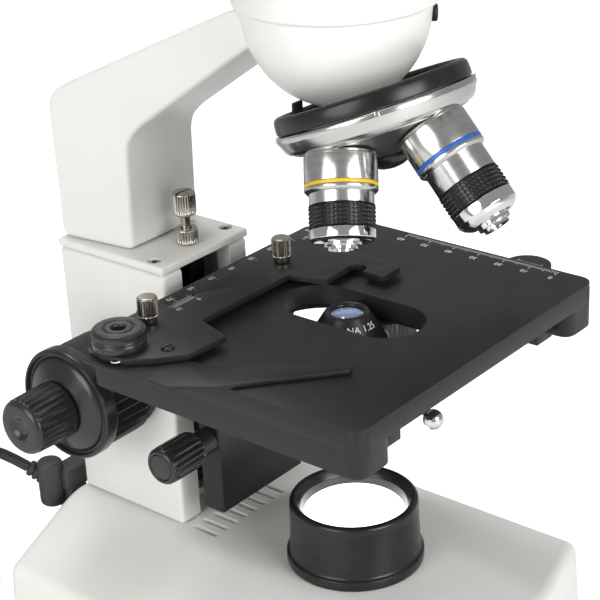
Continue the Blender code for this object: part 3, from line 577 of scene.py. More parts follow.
@dataclass(frozen=True)
class Finish:
    """How a surface looks, with sizes in metres."""

    name: str
    slot: str
    colour: Triple
    shade: Triple
    roughness: float
    metallic: float = 0.0
    grain: Grain = Grain.PLAIN
    scale: float = 1000.0
    depth: float = 0.00002
    strength: float = 0.3
    handling: float = 0.15
    dust: float = 0.0
    coat: float = 0.0
    specular: float = 0.5
    transmission: float = 0.0
    glow: float = 0.0
    glow_colour: Triple = (1.0, 1.0, 1.0)

    def material(self, effects: Effects, about: Matrix | None = None) -> bpy.types.Material:
        """Makes the material.

        Args:
            effects: The shared node groups.
            about: The frame of the piece's own axis, for turned and brushed grain.

        Returns:
            The material. One with no axis of its own is made once and shared.
        """
        name = self.name if about is None else f"{self.name}_turned"
        shared = bpy.data.materials.get(self.name)
        if about is None and shared:
            return shared
        made = bpy.data.materials.new(name)
        made.use_nodes = True
        tree = made.node_tree
        tree.nodes.clear()
        graph = Graph(tree)
        vector = graph.add("TexCoord").outputs["Object"]
        if about is not None:
            mapping = graph.add("Mapping", {"Vector": vector}, vector_type="TEXTURE")
            mapping.inputs["Location"].default_value = about.translation
            mapping.inputs["Rotation"].default_value = about.to_euler()
            vector = mapping.outputs[0]
        shader = graph.add("BsdfPrincipled", {
            "Metallic": self.metallic, "Coat Weight": self.coat, "Specular IOR Level": self.specular,
            "Transmission Weight": self.transmission, "Emission Strength": self.glow,
        })
        shader.inputs["Emission Color"].default_value = (*self.glow_colour, 1)
        if self.coat:
            shader.inputs["Coat Roughness"].default_value = 0.12
        colour: object = (*self.colour, 1)
        rough: object = self.roughness
        if self.grain is not Grain.PLAIN:
            grain = self._group(graph, effects.grains[self.grain], {"Vector": vector, "Scale": self.scale})
            colour = graph.blend(grain.outputs["Tone"], (*self.colour, 1), (*self.shade, 1))
            bump = graph.add("Bump", {
                "Height": grain.outputs["Height"], "Strength": self.strength, "Distance": self.depth,
            })
            tree.links.new(bump.outputs[0], shader.inputs["Normal"])
        else:
            tone = graph.noise(vector, 160.0, 3.0)
            colour = graph.blend(tone, (*self.colour, 1), (*self.shade, 1))
        touch = self._group(graph, effects.handling, {"Vector": vector, "Amount": self.handling})
        rough = graph.maths("ADD", touch.outputs["Change"], self.roughness, clamp=True)
        if self.dust:
            mask = self._group(graph, effects.dust, {"Vector": vector, "Amount": self.dust}).outputs["Mask"]
            colour = graph.blend(mask, colour, (0.45, 0.44, 0.42, 1))
            rough = graph.maths("MAXIMUM", rough, mask)
        tree.links.new(colour, shader.inputs["Base Color"])
        tree.links.new(rough, shader.inputs["Roughness"])
        out = graph.add("OutputMaterial")
        tree.links.new(shader.outputs[0], out.inputs["Surface"])
        return made

    @staticmethod
    def _group(graph: Graph, tree: bpy.types.NodeTree, inputs: dict) -> bpy.types.Node:
        """Places a node group."""
        node = graph.add("Group")
        node.node_tree = tree
        for key, value in inputs.items():
            if isinstance(value, bpy.types.NodeSocket):
                graph.tree.links.new(value, node.inputs[key])
            else:
                node.inputs[key].default_value = value
        return node


class Finishes:
    """Every finish on the instrument."""

    enamel = Finish("warm_white_enamel", "enamel", (0.78, 0.78, 0.745), (0.74, 0.74, 0.70), 0.36,
                    grain=Grain.ENAMEL, scale=900, depth=0.00003, strength=0.25, dust=0.05, coat=0.15)
    coat = Finish("black_satin_coat", "black_coat", (0.011, 0.011, 0.0115), (0.018, 0.018, 0.018), 0.42,
                  specular=0.32,
                  grain=Grain.CRINKLE, scale=4200, depth=0.00003, strength=0.35, dust=0.35)
    smooth_black = Finish("smooth_black", "black_coat", (0.009, 0.009, 0.0095), (0.014, 0.014, 0.014),
                          0.27, specular=0.35,
                          grain=Grain.MOULDED, scale=2500, depth=0.00001, strength=0.15, dust=0.12)
    plastic = Finish("black_plastic", "black_plastic", (0.009, 0.009, 0.009), (0.014, 0.014, 0.014),
                     0.42, specular=0.2,
                     grain=Grain.MOULDED, scale=3500, depth=0.00002, strength=0.2, dust=0.02)
    matt_plastic = Finish("matt_plastic", "black_plastic", (0.025, 0.025, 0.025), (0.035, 0.035, 0.035), 0.55,
                          grain=Grain.MOULDED, scale=3500, depth=0.00003, strength=0.4, dust=0.1)
    chrome = Finish("satin_chrome", "chrome", (0.66, 0.655, 0.64), (0.5, 0.495, 0.48), 0.2, 1.0,
                    grain=Grain.TURNED, scale=26000, depth=0.00001, strength=0.25, handling=0.12)
    bright = Finish("bright_chrome", "chrome", (0.78, 0.775, 0.77), (0.68, 0.675, 0.67), 0.09, 1.0,
                    grain=Grain.TURNED, scale=14000, depth=0.000004, strength=0.12, handling=0.06)
    dish = Finish("blasted_chrome", "chrome", (0.42, 0.42, 0.415), (0.36, 0.36, 0.35), 0.34, 1.0,
                  grain=Grain.CRINKLE, scale=3800, depth=0.00002, strength=0.3)
    nickel = Finish("nickel_plate", "nickel", (0.56, 0.52, 0.46), (0.44, 0.41, 0.36), 0.24, 1.0,
                    grain=Grain.TURNED, scale=20000, depth=0.00001, strength=0.3)
    steel = Finish("ground_steel", "steel", (0.5, 0.5, 0.5), (0.4, 0.4, 0.4), 0.28, 1.0,
                   grain=Grain.TURNED, scale=22000, depth=0.00001, strength=0.25)
    brass = Finish("milled_brass", "brass", (0.62, 0.44, 0.18), (0.5, 0.34, 0.13), 0.3, 1.0,
                   grain=Grain.BRUSHED, scale=9000, depth=0.00001, strength=0.3)
    rubber = Finish("black_rubber", "rubber", (0.017, 0.017, 0.017), (0.028, 0.028, 0.028), 0.62,
                    grain=Grain.MOULDED, scale=2600, depth=0.00003, strength=0.4, dust=0.3)
    lead = Finish("lead_jacket", "rubber", (0.012, 0.012, 0.012), (0.02, 0.02, 0.02), 0.38,
                  grain=Grain.MOULDED, scale=3000, depth=0.00002, strength=0.25, dust=0.2)
    engraving = Finish("white_fill", "black_coat", (0.72, 0.72, 0.70), (0.6, 0.6, 0.58), 0.5,
                       grain=Grain.ENAMEL, scale=3000, depth=0.00001, strength=0.1)
    dark_fill = Finish("black_fill", "chrome", (0.03, 0.03, 0.03), (0.05, 0.05, 0.05), 0.45,
                       grain=Grain.ENAMEL, scale=3000, depth=0.00001, strength=0.1)
    yellow = Finish("yellow_ring", "chrome", (0.80, 0.50, 0.01), (0.70, 0.42, 0.01), 0.32,
                    grain=Grain.ENAMEL, scale=3000, depth=0.00001, strength=0.1)
    blue = Finish("blue_ring", "chrome", (0.02, 0.12, 0.50), (0.015, 0.09, 0.40), 0.32,
                  grain=Grain.ENAMEL, scale=3000, depth=0.00001, strength=0.1)
    red = Finish("red_ring", "chrome", (0.55, 0.02, 0.02), (0.45, 0.015, 0.015), 0.32,
                 grain=Grain.ENAMEL, scale=3000, depth=0.00001, strength=0.1)
    white_ring = Finish("white_ring", "chrome", (0.75, 0.75, 0.73), (0.65, 0.65, 0.63), 0.32,
                        grain=Grain.ENAMEL, scale=3000, depth=0.00001, strength=0.1)
    lens = Finish("coated_lens", "glass", (0.30, 0.38, 0.55), (0.25, 0.3, 0.5), 0.03, specular=0.9,
                  grain=Grain.PLAIN, handling=0.02, coat=1.0, transmission=0.35)
    # The lamp's lit glass. The same glow is also used as painted light on the disc under the condenser lens.
    lamp = Finish("lit_lamp", "lamp_glass", (0.9, 0.93, 0.97), (0.86, 0.9, 0.95), 0.35,
                  grain=Grain.ENAMEL, scale=1500, depth=0.00003, strength=0.3, glow=3.2,
                  glow_colour=(0.93, 0.97, 1.0))


# ---------------------------------------------------------------- the bench


@dataclass
class Bench:
    """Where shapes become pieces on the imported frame."""

    frame: dict
    effects: Effects
    count: int = 0
    optical: Vector = field(init=False)

    def __post_init__(self) -> None:
        """Finds the optical axis, which stands through the middle of the lamp's glass."""
        low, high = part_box("lamp_glass")
        middle = (low + high) / 2
        self.optical = Vector((middle.x, middle.y, 0))

    def millimetres(self, about: Matrix | None = None) -> Matrix:
        """The matrix from millimetres about the optical axis, or about another frame, to the row's metres."""
        base = Matrix.Translation(self.optical) if about is None else about
        return base @ Matrix.Scale(MM, 4)

    def axis(self, x: float, y: float, z: float, turn: Matrix | None = None) -> Matrix:
        """A frame that stands at a place in millimetres from the optical axis."""
        made = Matrix.Translation(self.optical + Vector((x, y, z)) * MM)
        return made @ turn if turn else made

    def put(self, shape: Shape, name: str, finish: Finish, body: str, about: Matrix | None = None,
            replaces: Sequence[str] = (), smooth: float = 32) -> bpy.types.Object:
        """Makes a shape into a finished piece.

        Args:
            shape: The shape, in millimetres in its own frame. It is used up.
            name: The piece's name.
            finish: What it is finished in.
            body: The body that it rides on.
            about: The frame that the shape was made in, or None for the optical axis.
            replaces: The CAD nodes that it stands for.
            smooth: The sharpest angle that is shaded smooth, in degrees.

        Returns:
            The piece.
        """
        mesh = shape.to_mesh(name)
        mesh.transform(self.millimetres(about))
        mesh.shade_smooth()
        mesh.set_sharp_from_angle(angle=math.radians(smooth))
        turned = finish.grain in (Grain.TURNED, Grain.BRUSHED)
        mesh.materials.append(finish.material(self.effects, about if turned else None))
        piece = bpy.data.objects.new(name, mesh)
        bpy.context.scene.collection.objects.link(piece)
        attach(piece, body)
        if replaces:
            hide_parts(*replaces)
        self.count += 1
        LOG.info("%s: %d faces, on %s", name, len(mesh.polygons), body)
        return piece

    def dress(self, node: str, finish: Finish, about: Matrix | None = None) -> None:
        """Gives a carried-over CAD node its finish."""
        mesh = self.frame["nodes"][node].data
        mesh.materials.clear()
        mesh.materials.append(finish.material(self.effects, about))
        LOG.info("%s: dressed in %s", node, finish.name)


# ---------------------------------------------------------------- setting


@dataclass
class Setting:
    """The floor, the light and the camera."""

    heading: float = -49.48
    height_angle: float = 24.33
    roll: float = -2.79
    lens: float = 100.956
    sensor: float = 36.0
    eye: Triple = (-376.23, -302.274, 369.211)

    def build(self, bench: Bench) -> None:
        """Sets the whole scene."""
        self._camera(bench)
        self._floor()
        self._lights(bench)
        view = bpy.context.scene.view_settings
        view.view_transform = "Standard"
        view.exposure = 0.0

    def _camera(self, bench: Bench) -> None:
        """Stands the camera in front and to the left, a little rolled."""
        turn, rise = math.radians(self.heading), math.radians(self.height_angle)
        ahead = -Vector((math.sin(turn) * math.cos(rise), -math.cos(turn) * math.cos(rise), math.sin(rise)))
        level = ahead.cross(Vector((0, 0, 1))).normalized()
        over = level.cross(ahead)
        lean = math.radians(self.roll)
        right = math.cos(lean) * level + math.sin(lean) * over
        up = math.cos(lean) * over - math.sin(lean) * level
        camera = bpy.data.cameras.new("camera")
        camera.lens = self.lens
        camera.sensor_width = self.sensor
        camera.clip_start = 0.02
        camera.clip_end = 20
        stand = bpy.data.objects.new("camera", camera)
        bpy.context.scene.collection.objects.link(stand)
        stand.matrix_world = Matrix.Translation(bench.optical + Vector(self.eye) * MM) @ Matrix(
            (right, up, -ahead)
        ).transposed().to_4x4()
        bpy.context.scene.camera = stand

    @staticmethod
    def _floor() -> None:
        """A plain pale floor."""
        shape = Shape().extrude(rectangle((-4000, -4000), (4000, 4000)), -8, 0)
        mesh = shape.to_mesh("floor")
        mesh.transform(Matrix.Scale(MM, 4))
        plain = bpy.data.materials.new("pale_floor")
        plain.use_nodes = True
        shader = plain.node_tree.nodes["Principled BSDF"]
        shader.inputs["Base Color"].default_value = (0.9, 0.9, 0.9, 1)
        shader.inputs["Roughness"].default_value = 0.6
        shader.inputs["Emission Color"].default_value = (1, 1, 1, 1)
        graph = Graph(plain.node_tree)
        seen = graph.add("LightPath").outputs["Is Camera Ray"]
        glow = graph.add("MapRange", {0: seen, 3: 0.0, 4: 0.55}).outputs[0]
        plain.node_tree.links.new(glow, shader.inputs["Emission Strength"])
        mesh.materials.append(plain)
        floor = bpy.data.objects.new("floor", mesh)
        bpy.context.scene.collection.objects.link(floor)

    def _lights(self, bench: Bench) -> None:
        """A bright white room with broad soft boxes."""
        world = bpy.data.worlds.new("studio")
        bpy.context.scene.world = world
        world.use_nodes = True
        tree = world.node_tree
        tree.nodes.clear()
        graph = Graph(tree)
        seen = graph.add("LightPath").outputs["Is Camera Ray"]
        strength = graph.add("MapRange", {0: seen, 3: 0.36, 4: 1.05}).outputs[0]
        room = graph.add("Background", {"Color": (1, 1, 1, 1), "Strength": strength})
        tree.links.new(room.outputs[0], graph.add("OutputWorld").inputs["Surface"])
        aim = bench.optical + Vector((0, 20, 150)) * MM
        self._box("left_light", aim, Vector((-1.25, 0.0, 0.45)), 0.8, 9.5)
        self._box("front_light", aim, Vector((-0.15, -1.25, 0.45)), 0.7, 13.0)
        self._box("top_light", aim, Vector((0.2, 0.5, 1.2)), 0.5, 7.0)

    @staticmethod
    def _box(name: str, aim: Vector, way: Vector, size: float, power: float) -> None:
        """One square soft box.

        Args:
            name: The light's name.
            aim: What it looks at.
            way: Where it stands from there, in metres.
            size: Its side, in metres.
            power: Its power, in watts.
        """
        light = bpy.data.lights.new(name, "AREA")
        light.size = size
        light.energy = power
        lamp = bpy.data.objects.new(name, light)
        bpy.context.scene.collection.objects.link(lamp)
        lamp.location = aim + way
        lamp.rotation_euler = (-way).to_track_quat("-Z", "Y").to_euler()


# ---------------------------------------------------------------- power lead


@dataclass
class PowerLead:
    """The lead from the back of the base: its plug, its route, its coil and its wall adapter."""

    radius: float = 0.002
    coil_centre: Triple = (-0.050, 0.188, 0.0)
    coil_radii: tuple[float, ...] = (0.0293, 0.0251, 0.0209, 0.0167)
    coil_heights: tuple[float, ...] = (0.0024, 0.0065)
    steps_per_turn: int = 36

    # From the plug to the coil, in metres from the optical axis.
    route: tuple[Triple, ...] = (
        (-0.0315, 0.1280, 0.0625), (-0.0370, 0.1345, 0.0682), (-0.0440, 0.1420, 0.0720),
        (-0.0530, 0.1500, 0.0710), (-0.0630, 0.1580, 0.0625), (-0.0720, 0.1655, 0.0480),
        (-0.0795, 0.1730, 0.0305), (-0.0850, 0.1810, 0.0150), (-0.0875, 0.1905, 0.0054),
        (-0.0860, 0.2005, 0.0024), (-0.0800, 0.2105, 0.0024), (-0.0705, 0.2170, 0.0024),
        (-0.0590, 0.2210, 0.0024),
    )
    tail: tuple[Triple, ...] = (
        (-0.0242, 0.1699, 0.0059), (-0.0280, 0.1620, 0.0036), (-0.0335, 0.1555, 0.0024),
        (-0.0390, 0.1505, 0.0023), (-0.0435, 0.1445, 0.0023), (-0.0445, 0.1370, 0.0023),
        (-0.0410, 0.1305, 0.0023), (-0.0345, 0.1270, 0.0024), (-0.0270, 0.1265, 0.0030),
        (-0.0195, 0.1285, 0.0042), (-0.0120, 0.1315, 0.0054), (-0.0030, 0.1330, 0.0058),
    )

    def points(self) -> list[Vector]:
        """The whole route: out of the plug, down, round the coil and into the adapter."""
        centre = Vector(self.coil_centre)
        made = [Vector(point) for point in self.route]
        radii, heights = self.coil_radii, self.coil_heights
        turns = [(radius, heights[0]) for radius in radii]
        turns += [(radius, heights[1]) for radius in reversed(radii)]
        arrive = made[-1] - centre
        start = math.atan2(arrive.y, arrive.x) - math.radians(14)
        shift = math.radians(60)
        before = (arrive.length - 0.0012, heights[0])
        for index, (radius, height) in enumerate(turns):
            last = index == len(turns) - 1
            for step in range(self.steps_per_turn):
                angle = math.tau * step / self.steps_per_turn
                if last and angle > math.radians(97):
                    break
                slide = min(1.0, angle / shift)
                climb = min(1.0, max(0.0, (angle - shift) / shift))
                ease = slide * slide * (3 - 2 * slide)
                lift = climb * climb * (3 - 2 * climb)
                reach = before[0] + (radius - before[0]) * ease
                level = before[1] + (height - before[1]) * lift
                turn = start - angle
                made.append(centre + Vector((reach * math.cos(turn), reach * math.sin(turn), level)))
            before = (radius, height)
        return made + [Vector(point) for point in self.tail]

    def build(self, bench: Bench) -> None:
        """Makes the lead and every piece on it."""
        places = [bench.optical + point for point in self.points()]
        smooth: list[Vector] = []
        ends = [places[0] * 2 - places[1], *places, places[-1] * 2 - places[-2]]
        for a, b, c, d in zip(ends, ends[1:], ends[2:], ends[3:]):
            middle = 0.5 * (b + c) + (b - a + c - d) / 16
            smooth += [b, middle]
        smooth.append(places[-1])
        curve = bpy.data.curves.new("power_lead", "CURVE")
        curve.dimensions = "3D"
        curve.bevel_depth = self.radius
        curve.bevel_resolution = 4
        curve.use_fill_caps = True
        line = curve.splines.new("POLY")
        line.points.add(len(smooth) - 1)
        for point, place in zip(line.points, smooth):
            point.co = (*place, 1)
        curve.materials.append(Finishes.lead.material(bench.effects))
        lead = bpy.data.objects.new("power_lead", curve)
        bpy.context.scene.collection.objects.link(lead)
        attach(lead, "stand")
        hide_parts("cord", "cord_coil")
        plug = self._plug(bench, places[0], places[1])
        adapter = self._adapter(bench)
        tie = self._tie(bench)

    def _plug(self, bench: Bench, start: Vector, toward: Vector) -> list[bpy.types.Object]:
        """The moulded plug in the back of the base, with its ribbed strain relief."""
        post = Shape().turn(rounded([(0, 65.5), (4.8, 65.5), (4.8, 47.5), (0, 47.5)], 2.6, 5),
            56).shift(-27, 121)
        blocks = [
            Shape().block((-26, 113, 53.5), (-13, 122.5, 62)).soften(1.8, 4),
            Shape().block((-25, 112.8, 40), (-17, 120, 55)).soften(0.8, 3),
            Shape().block((-24, 110.8, 41), (-18, 113.8, 49)).soften(0.4, 2),
        ]
        moulding = bench.put(
            carved(post, blocks, join=True), "power_plug", Finishes.matt_plastic, "stand",
            replaces=["cord_plug"]
        )
        way = (toward - start).normalized().to_track_quat("Z", "Y").to_matrix().to_4x4()
        about = Matrix.Translation(start) @ way
        profile: list[Pair] = [(2.05, -0.4), (2.7, -0.6)]
        for ring in range(3):
            low = -0.9 - ring * 2.2
            radius = 2.9 + ring * 0.3
            profile += [(radius, low), (radius + 0.1, low - 1.3), (radius - 0.5, low - 1.5),
                (radius - 0.5, low - 2.1)]
        profile += [(3.7, -7.8), (3.8, -10.4), (0, -10.4)]
        relief = Shape().turn([(0, -0.4), *rounded(profile, 0.25, 2)], 40)
        boot = bench.put(relief, "plug_strain_relief", Finishes.rubber, "stand", about)
        return [moulding, boot]

    def _adapter(self, bench: Bench) -> list[bpy.types.Object]:
        """The wall adapter: a moulded case with a parting line, its top panel and its lead's sleeve."""
        low, high = (-3, 116.5, 0.3), (27, 146.5, 25)
        lower = Shape().block(low, (high[0], high[1], 12.4)).soften(1.8, 3)
        upper = Shape().block((low[0] + 0.3, low[1] + 0.3, 12.8), high).soften(2.2, 4)
        seam = Shape().block((low[0] + 0.9, low[1] + 0.9, 11), (high[0] - 0.9, high[1] - 0.9, 14))
        case = lower.join(upper).join(seam)
        made = [bench.put(case, "adapter_case", Finishes.matt_plastic, "stand", replaces=["wall_adapter"])]
        panel = Shape().extrude(rounded(rectangle((2, 121), (22, 142)), 1.5, 4, True), 24.9, 25)
        made.append(bench.put(panel, "adapter_panel", Finishes.smooth_black, "stand"))
        sleeve = rounded([(2.05, 7), (2.6, 7), (3.4, 0.5), (3.4, -0.6), (2.05, -0.6)], 0.2, 2, True)
        made.append(bench.put(Shape().turn(sleeve, 36, ring=True), "adapter_sleeve", Finishes.rubber, "stand",
                              bench.axis(-3, 133, 5.8, AGAINST_X)))
        return made

    def _tie(self, bench: Bench) -> bpy.types.Object:
        """A strap round the coil's turns."""
        x, y, _ = (value / MM for value in self.coil_centre)
        outline = rounded(rectangle((-8.9, 0.1), (8.9, 8.9)), 3.2, 5, True)
        inner = rounded(rectangle((-8.5, 0.35), (8.5, 8.65)), 2.9, 5, True)
        strap = carved(Shape().extrude(outline, -3, 3), [Shape().extrude(inner, -4, 4)])
        stand = Matrix.Translation((x - 23, y, 0)) @ Matrix.Rotation(math.radians(90), 4, "X")
        return bench.put(strap.place(stand), "lead_tie", Finishes.rubber, "stand")


# ---------------------------------------------------------------- stand


@dataclass
class Base:
    """The lit base: its enamelled housing, its feet and its two controls."""

    top: float = 56
    shoulder: float = 45.3
    bottom: float = 4
    half: float = 64
    ridge: float = 26
    nose: float = 15.5
    back: float = 112
    front: float = -65.4
    slots: int = 8
    slot_pitch: float = 5.1
    side_x: float = 65.6

    def build(self, bench: Bench) -> None:
        """Makes the housing and dresses what is under it."""
        points: list[Triple] = []
        for side in (-1, 1):
            points += [
                (side * self.ridge, self.back, self.top), (side * self.ridge, 0, self.top),
                (side * self.nose, self.front, self.top), (side * self.half, self.back - 7, self.shoulder),
                (side * self.half, -48, self.shoulder), (side * (self.half + 2), self.back - 5, self.bottom),
                (side * (self.half + 2), -50, self.bottom), (side * (self.nose + 3), self.front - 4.5,
                self.bottom),
            ]
        shell = Shape().hull(points).soften(3.6, 5, 10)
        knives = [Shape().extrude(
            rounded([(-60, -46), (-16, -62), (16, -62), (60, -46), (60, 100), (26, 106), (-26, 106),
            (-60, 100)],
                    2, 2, True), 0, 30)]
        for index in range(self.slots):
            x = -18.6 + index * self.slot_pitch
            slot = rounded(rectangle((x - 1.1, 46), (x + 1.1, 57.5)), 0.9, 4, True)
            knives.append(Shape().extrude(slot, 49, 60))
        side = self.side_x
        knives.append(Shape().block((side - 9, 55, 21), (side + 5, 69, 31)))
        knives.append(Shape().turn([(0, 12), (9.5, 12), (9.5, -6), (0, -6)], 48).place(
            Matrix.Translation((side, 20, 26)) @ ALONG_X))
        knives.append(Shape().block((-30.5, 100, 38.5), (-17.5, 118, 51.5)))
        bench.put(carved(shell, knives), "base_shell", Finishes.enamel, "stand",
            replaces=["base_housing"], smooth=28)
        bench.dress("base_bottom_plate", Finishes.coat)
        foot = [(0, 4), (7.4, 4), (8, 3.4), (8, 1.4), (7, 0), (5.2, 0), (4.6, 0.7), (0, 0.7)]
        for name in ("foot_front_left", "foot_front_right", "foot_rear_left", "foot_rear_right"):
            low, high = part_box(name)
            about = Matrix.Translation(((low.x + high.x) / 2, (low.y + high.y) / 2, 0))
            shape = Shape().turn(rounded(foot, 0.4, 3), 48)
            bench.put(shape, f"rubber_{name}", Finishes.rubber, "stand", about, [name])
        self._controls(bench)

    def _controls(self, bench: Bench) -> None:
        """The rocker and the brightness dial with its mark."""
        side = self.side_x
        rocker = Shape().block((-4, -6.5, -4.5), (2.2, 6.5, 4.5)).soften(0.9, 3)
        dip = Shape().turn([(0, 20), (16, 20), (16, -20), (0, -20)], 64).place(
            Matrix.Translation((17.4, 0, 0)))
        bench.put(carved(rocker, [dip]), "rocker_switch", Finishes.plastic, "power_switch",
                  bench.axis(side, 62, 26), ["power_switch"])
        rim = carved(Shape().block((side - 1.5, 53.4, 19.4), (side + 1.2, 70.6, 32.6)).soften(0.6, 3),
                     [Shape().block((side - 9, 55, 21), (side + 5, 69, 31))])
        bench.put(rim, "rocker_surround", Finishes.plastic, "stand")
        profile = rounded([(0, 8.2), (6.6, 8.2), (7, 8.7), (8.2, 8.7), (9, 7.6), (9, -3), (0, -3)], 0.4, 3)
        dial = Shape().turn(profile, 144, Flutes(36, 0.45, 0.4, 7.8, 7.5))
        bench.put(dial, "brightness_knob", Finishes.plastic, "brightness_dial",
                  bench.axis(side, 20, 26, ALONG_X), ["brightness_dial"])
        mark = Shape().block((-7.6, -0.35, 8.5), (-4.2, 0.35, 8.78))
        bench.put(mark, "brightness_mark", Finishes.engraving, "brightness_dial",
            bench.axis(side, 20, 26, ALONG_X))


@dataclass
class Lamp:
    """The lamp that stands on the base."""

    def build(self, bench: Bench) -> None:
        """Makes its turned housing and its lit glass."""
        about = bench.axis(0, 0, 0)
        profile = rounded([
            (17.3, 74.6), (17.6, 76.4), (19.5, 79), (20.7, 79), (21.5, 78.2), (21.7, 76.2), (21.5, 75.7),
            (22, 60.6), (22.6, 59.9), (23.15, 59.6), (23.15, 56.3), (9, 56.3), (9, 58.3), (17.3, 58.3),
        ], 0.45, 3, True)
        bench.put(Shape().turn(profile, 96, ring=True), "lamp_house", Finishes.smooth_black, "stand", about,
                  ["lamp_housing"])
        glass = [(0, 74.9), (8, 74.75), (14, 74.35), (16.6, 73.9), (17.0, 73.4), (17.0, 70.5), (0, 70.5)]
        bench.put(Shape().turn(glass, 72), "lamp_window", Finishes.lamp, "stand", about, ["lamp_glass"])


@dataclass
class Column:
    """The column under the arm, with its cap, its screws and the focus slide that shows in its slot."""

    half: float = 21
    front: float = 60
    back: float = 109
    top: float = 151.1
    inner: float = 12
    overhang: float = 0.4

    def build(self, bench: Bench) -> None:
        """Makes the cover, the cap, the screws, and dresses the slide."""
        low = 56.3
        cover = Shape().block((-self.half, self.front, low), (self.half, self.back, self.top)).soften(1.5, 4)
        hollow = Shape().block((-self.half + 3, self.front + 6, low + 3),
            (self.half - 3, self.back - 3, self.top + 5))
        slot = Shape().block((-self.inner, self.front - 5, low + 0.5),
            (self.inner, self.front + 9, self.top + 5))
        bore = Shape().turn([(0, 40), (6, 40), (6, -40), (0, -40)], 40).place(
            Matrix.Translation((0, 84.3, 108.3)) @ ALONG_X)
        bench.put(carved(cover, [hollow, slot, bore]), "column_shell", Finishes.enamel, "stand",
                  replaces=["column_cover"])
        cap_low, cap_top = self.top + 0.3, self.top + 3.3
        wide, long = self.half + self.overhang, self.overhang
        cap = Shape().block((-wide, self.front - long, cap_low), (wide, self.back, cap_top)).soften(0.8, 3)
        holes = [Shape().turn([(0, 170), (2.2, 170), (2.2, 140), (0, 140)], 32).shift(0, 68)]
        for side in (-1, 1):
            holes.append(Shape().turn([(0, 170), (2.4, 170), (2.4, cap_low + 1), (0, cap_low + 1)], 32).shift(
                side * 17.6, 66.5))
        bench.put(carved(cap, holes), "column_lid", Finishes.enamel, "stand", replaces=["column_cap"])
        for side, word in ((-1, "left"), (1, "right")):
            head = Shape().turn(rounded([(0, 1.6), (1.9, 1.6), (2.15, 1.3), (2.15, 0), (0, 0)], 0.2, 2), 32)
            socket = Shape().turn([(0, 3), (1.15, 3), (1.15, 0.5), (0, 0.5)], 6)
            bench.put(carved(head, [socket]), f"lid_screw_{word}", Finishes.steel, "stand",
                      bench.axis(side * 17.6, 66.5, cap_low + 1))
        self._stop_screw(bench, cap_top)
        for node in ("focus_guide", "stage_carriage", "stage_bracket", "click_spring"):
            bench.dress(node, Finishes.coat)
        bench.dress("focus_rack", Finishes.brass)

    def _stop_screw(self, bench: Bench, base: float) -> None:
        """The knurled screw that sets how high the stage goes, with its lock nut."""
        about = bench.axis(0, 68, base)
        nut = rounded([(1.9, 5.7), (3.5, 5.7), (3.9, 5.2), (3.9, 0.8), (3.5, 0.3), (1.9, 0.3)], 0.3, 2, True)
        knob = rounded([(0, 18.6), (3.3, 18.6), (3.9, 17.9), (3.9, 11.1), (3.4, 10.4), (1.7, 10.2),
                        (1.7, 5.9),
                        (1.8, 0.4), (1.8, -4.2), (0, -4.2)], 0.3, 2)
        screw = Shape().turn(knob, 112, Flutes(28, 0.4, 11.2, 17.8, 3.2))
        collar = Shape().turn(nut, 112, Flutes(28, 0.4, 0.9, 5.1, 3.2), ring=True)
        slot = Shape().block((-5, -0.4, 17.8), (5, 0.4, 20))
        bench.put(carved(screw, [slot]).join(collar), "stop_screw", Finishes.nickel, "stage_stop_screw",
                  about,
                  ["stage_stop_screw"], smooth=50)


@dataclass
class Arm:
    """The upper casting and the bowl over the nosepiece."""

    bowl_radius: float = 28.5
    bowl_depth: float = 31
    seam: float = 246

    def bowl(self) -> list[Pair]:
        """Down the outside of the bowl."""
        points: list[Pair] = [(0, self.seam), (self.bowl_radius, self.seam)]
        count = 26
        for index in range(1, count + 1):
            angle = math.radians(90 * index / count)
            points.append((self.bowl_radius * math.cos(angle), self.seam - self.bowl_depth * math.sin(angle)))
        points[-1] = (0, points[-1][1])
        return points

    def build(self, bench: Bench) -> None:
        """Makes the arm and the bowl."""
        low = 154.7
        line = [
            (78, low), (77, 190), (75.5, 194), (71, 198.6), (18, 234.5), (18, 243.6), (27, 243.6),
            (101, 209.8), (106, 207),
            (109, 202.5), (108.5, low),
        ]
        turn = Matrix(((0, 0, 1, 0), (1, 0, 0, 0), (0, 1, 0, 0), (0, 0, 0, 1)))
        arm = Shape().extrude(rounded(line, 3.0, 4, True), -1, 1).place(turn)
        for vertex in arm.mesh.verts:
            depth = min(1.0, max(0.0, (vertex.co.y - 74) / 35))
            if vertex.co.y < 74:
                depth = min(1.0, max(0.0, (vertex.co.z - 198.6 - (71 - vertex.co.y) * 0.677) / 20))
            vertex.co.x = math.copysign(16 + 3.6 * depth, vertex.co.x)
        arm.soften(1.7, 5, 35)
        bench.put(arm, "arm_casting", Finishes.enamel, "stand", replaces=["arm"])
        bench.put(Shape().turn(self.bowl(), 112), "nosepiece_bowl", Finishes.enamel, "stand",
                  bench.axis(0, 0, 0), ["nosepiece_mount"], smooth=60)


# ---------------------------------------------------------------- focus


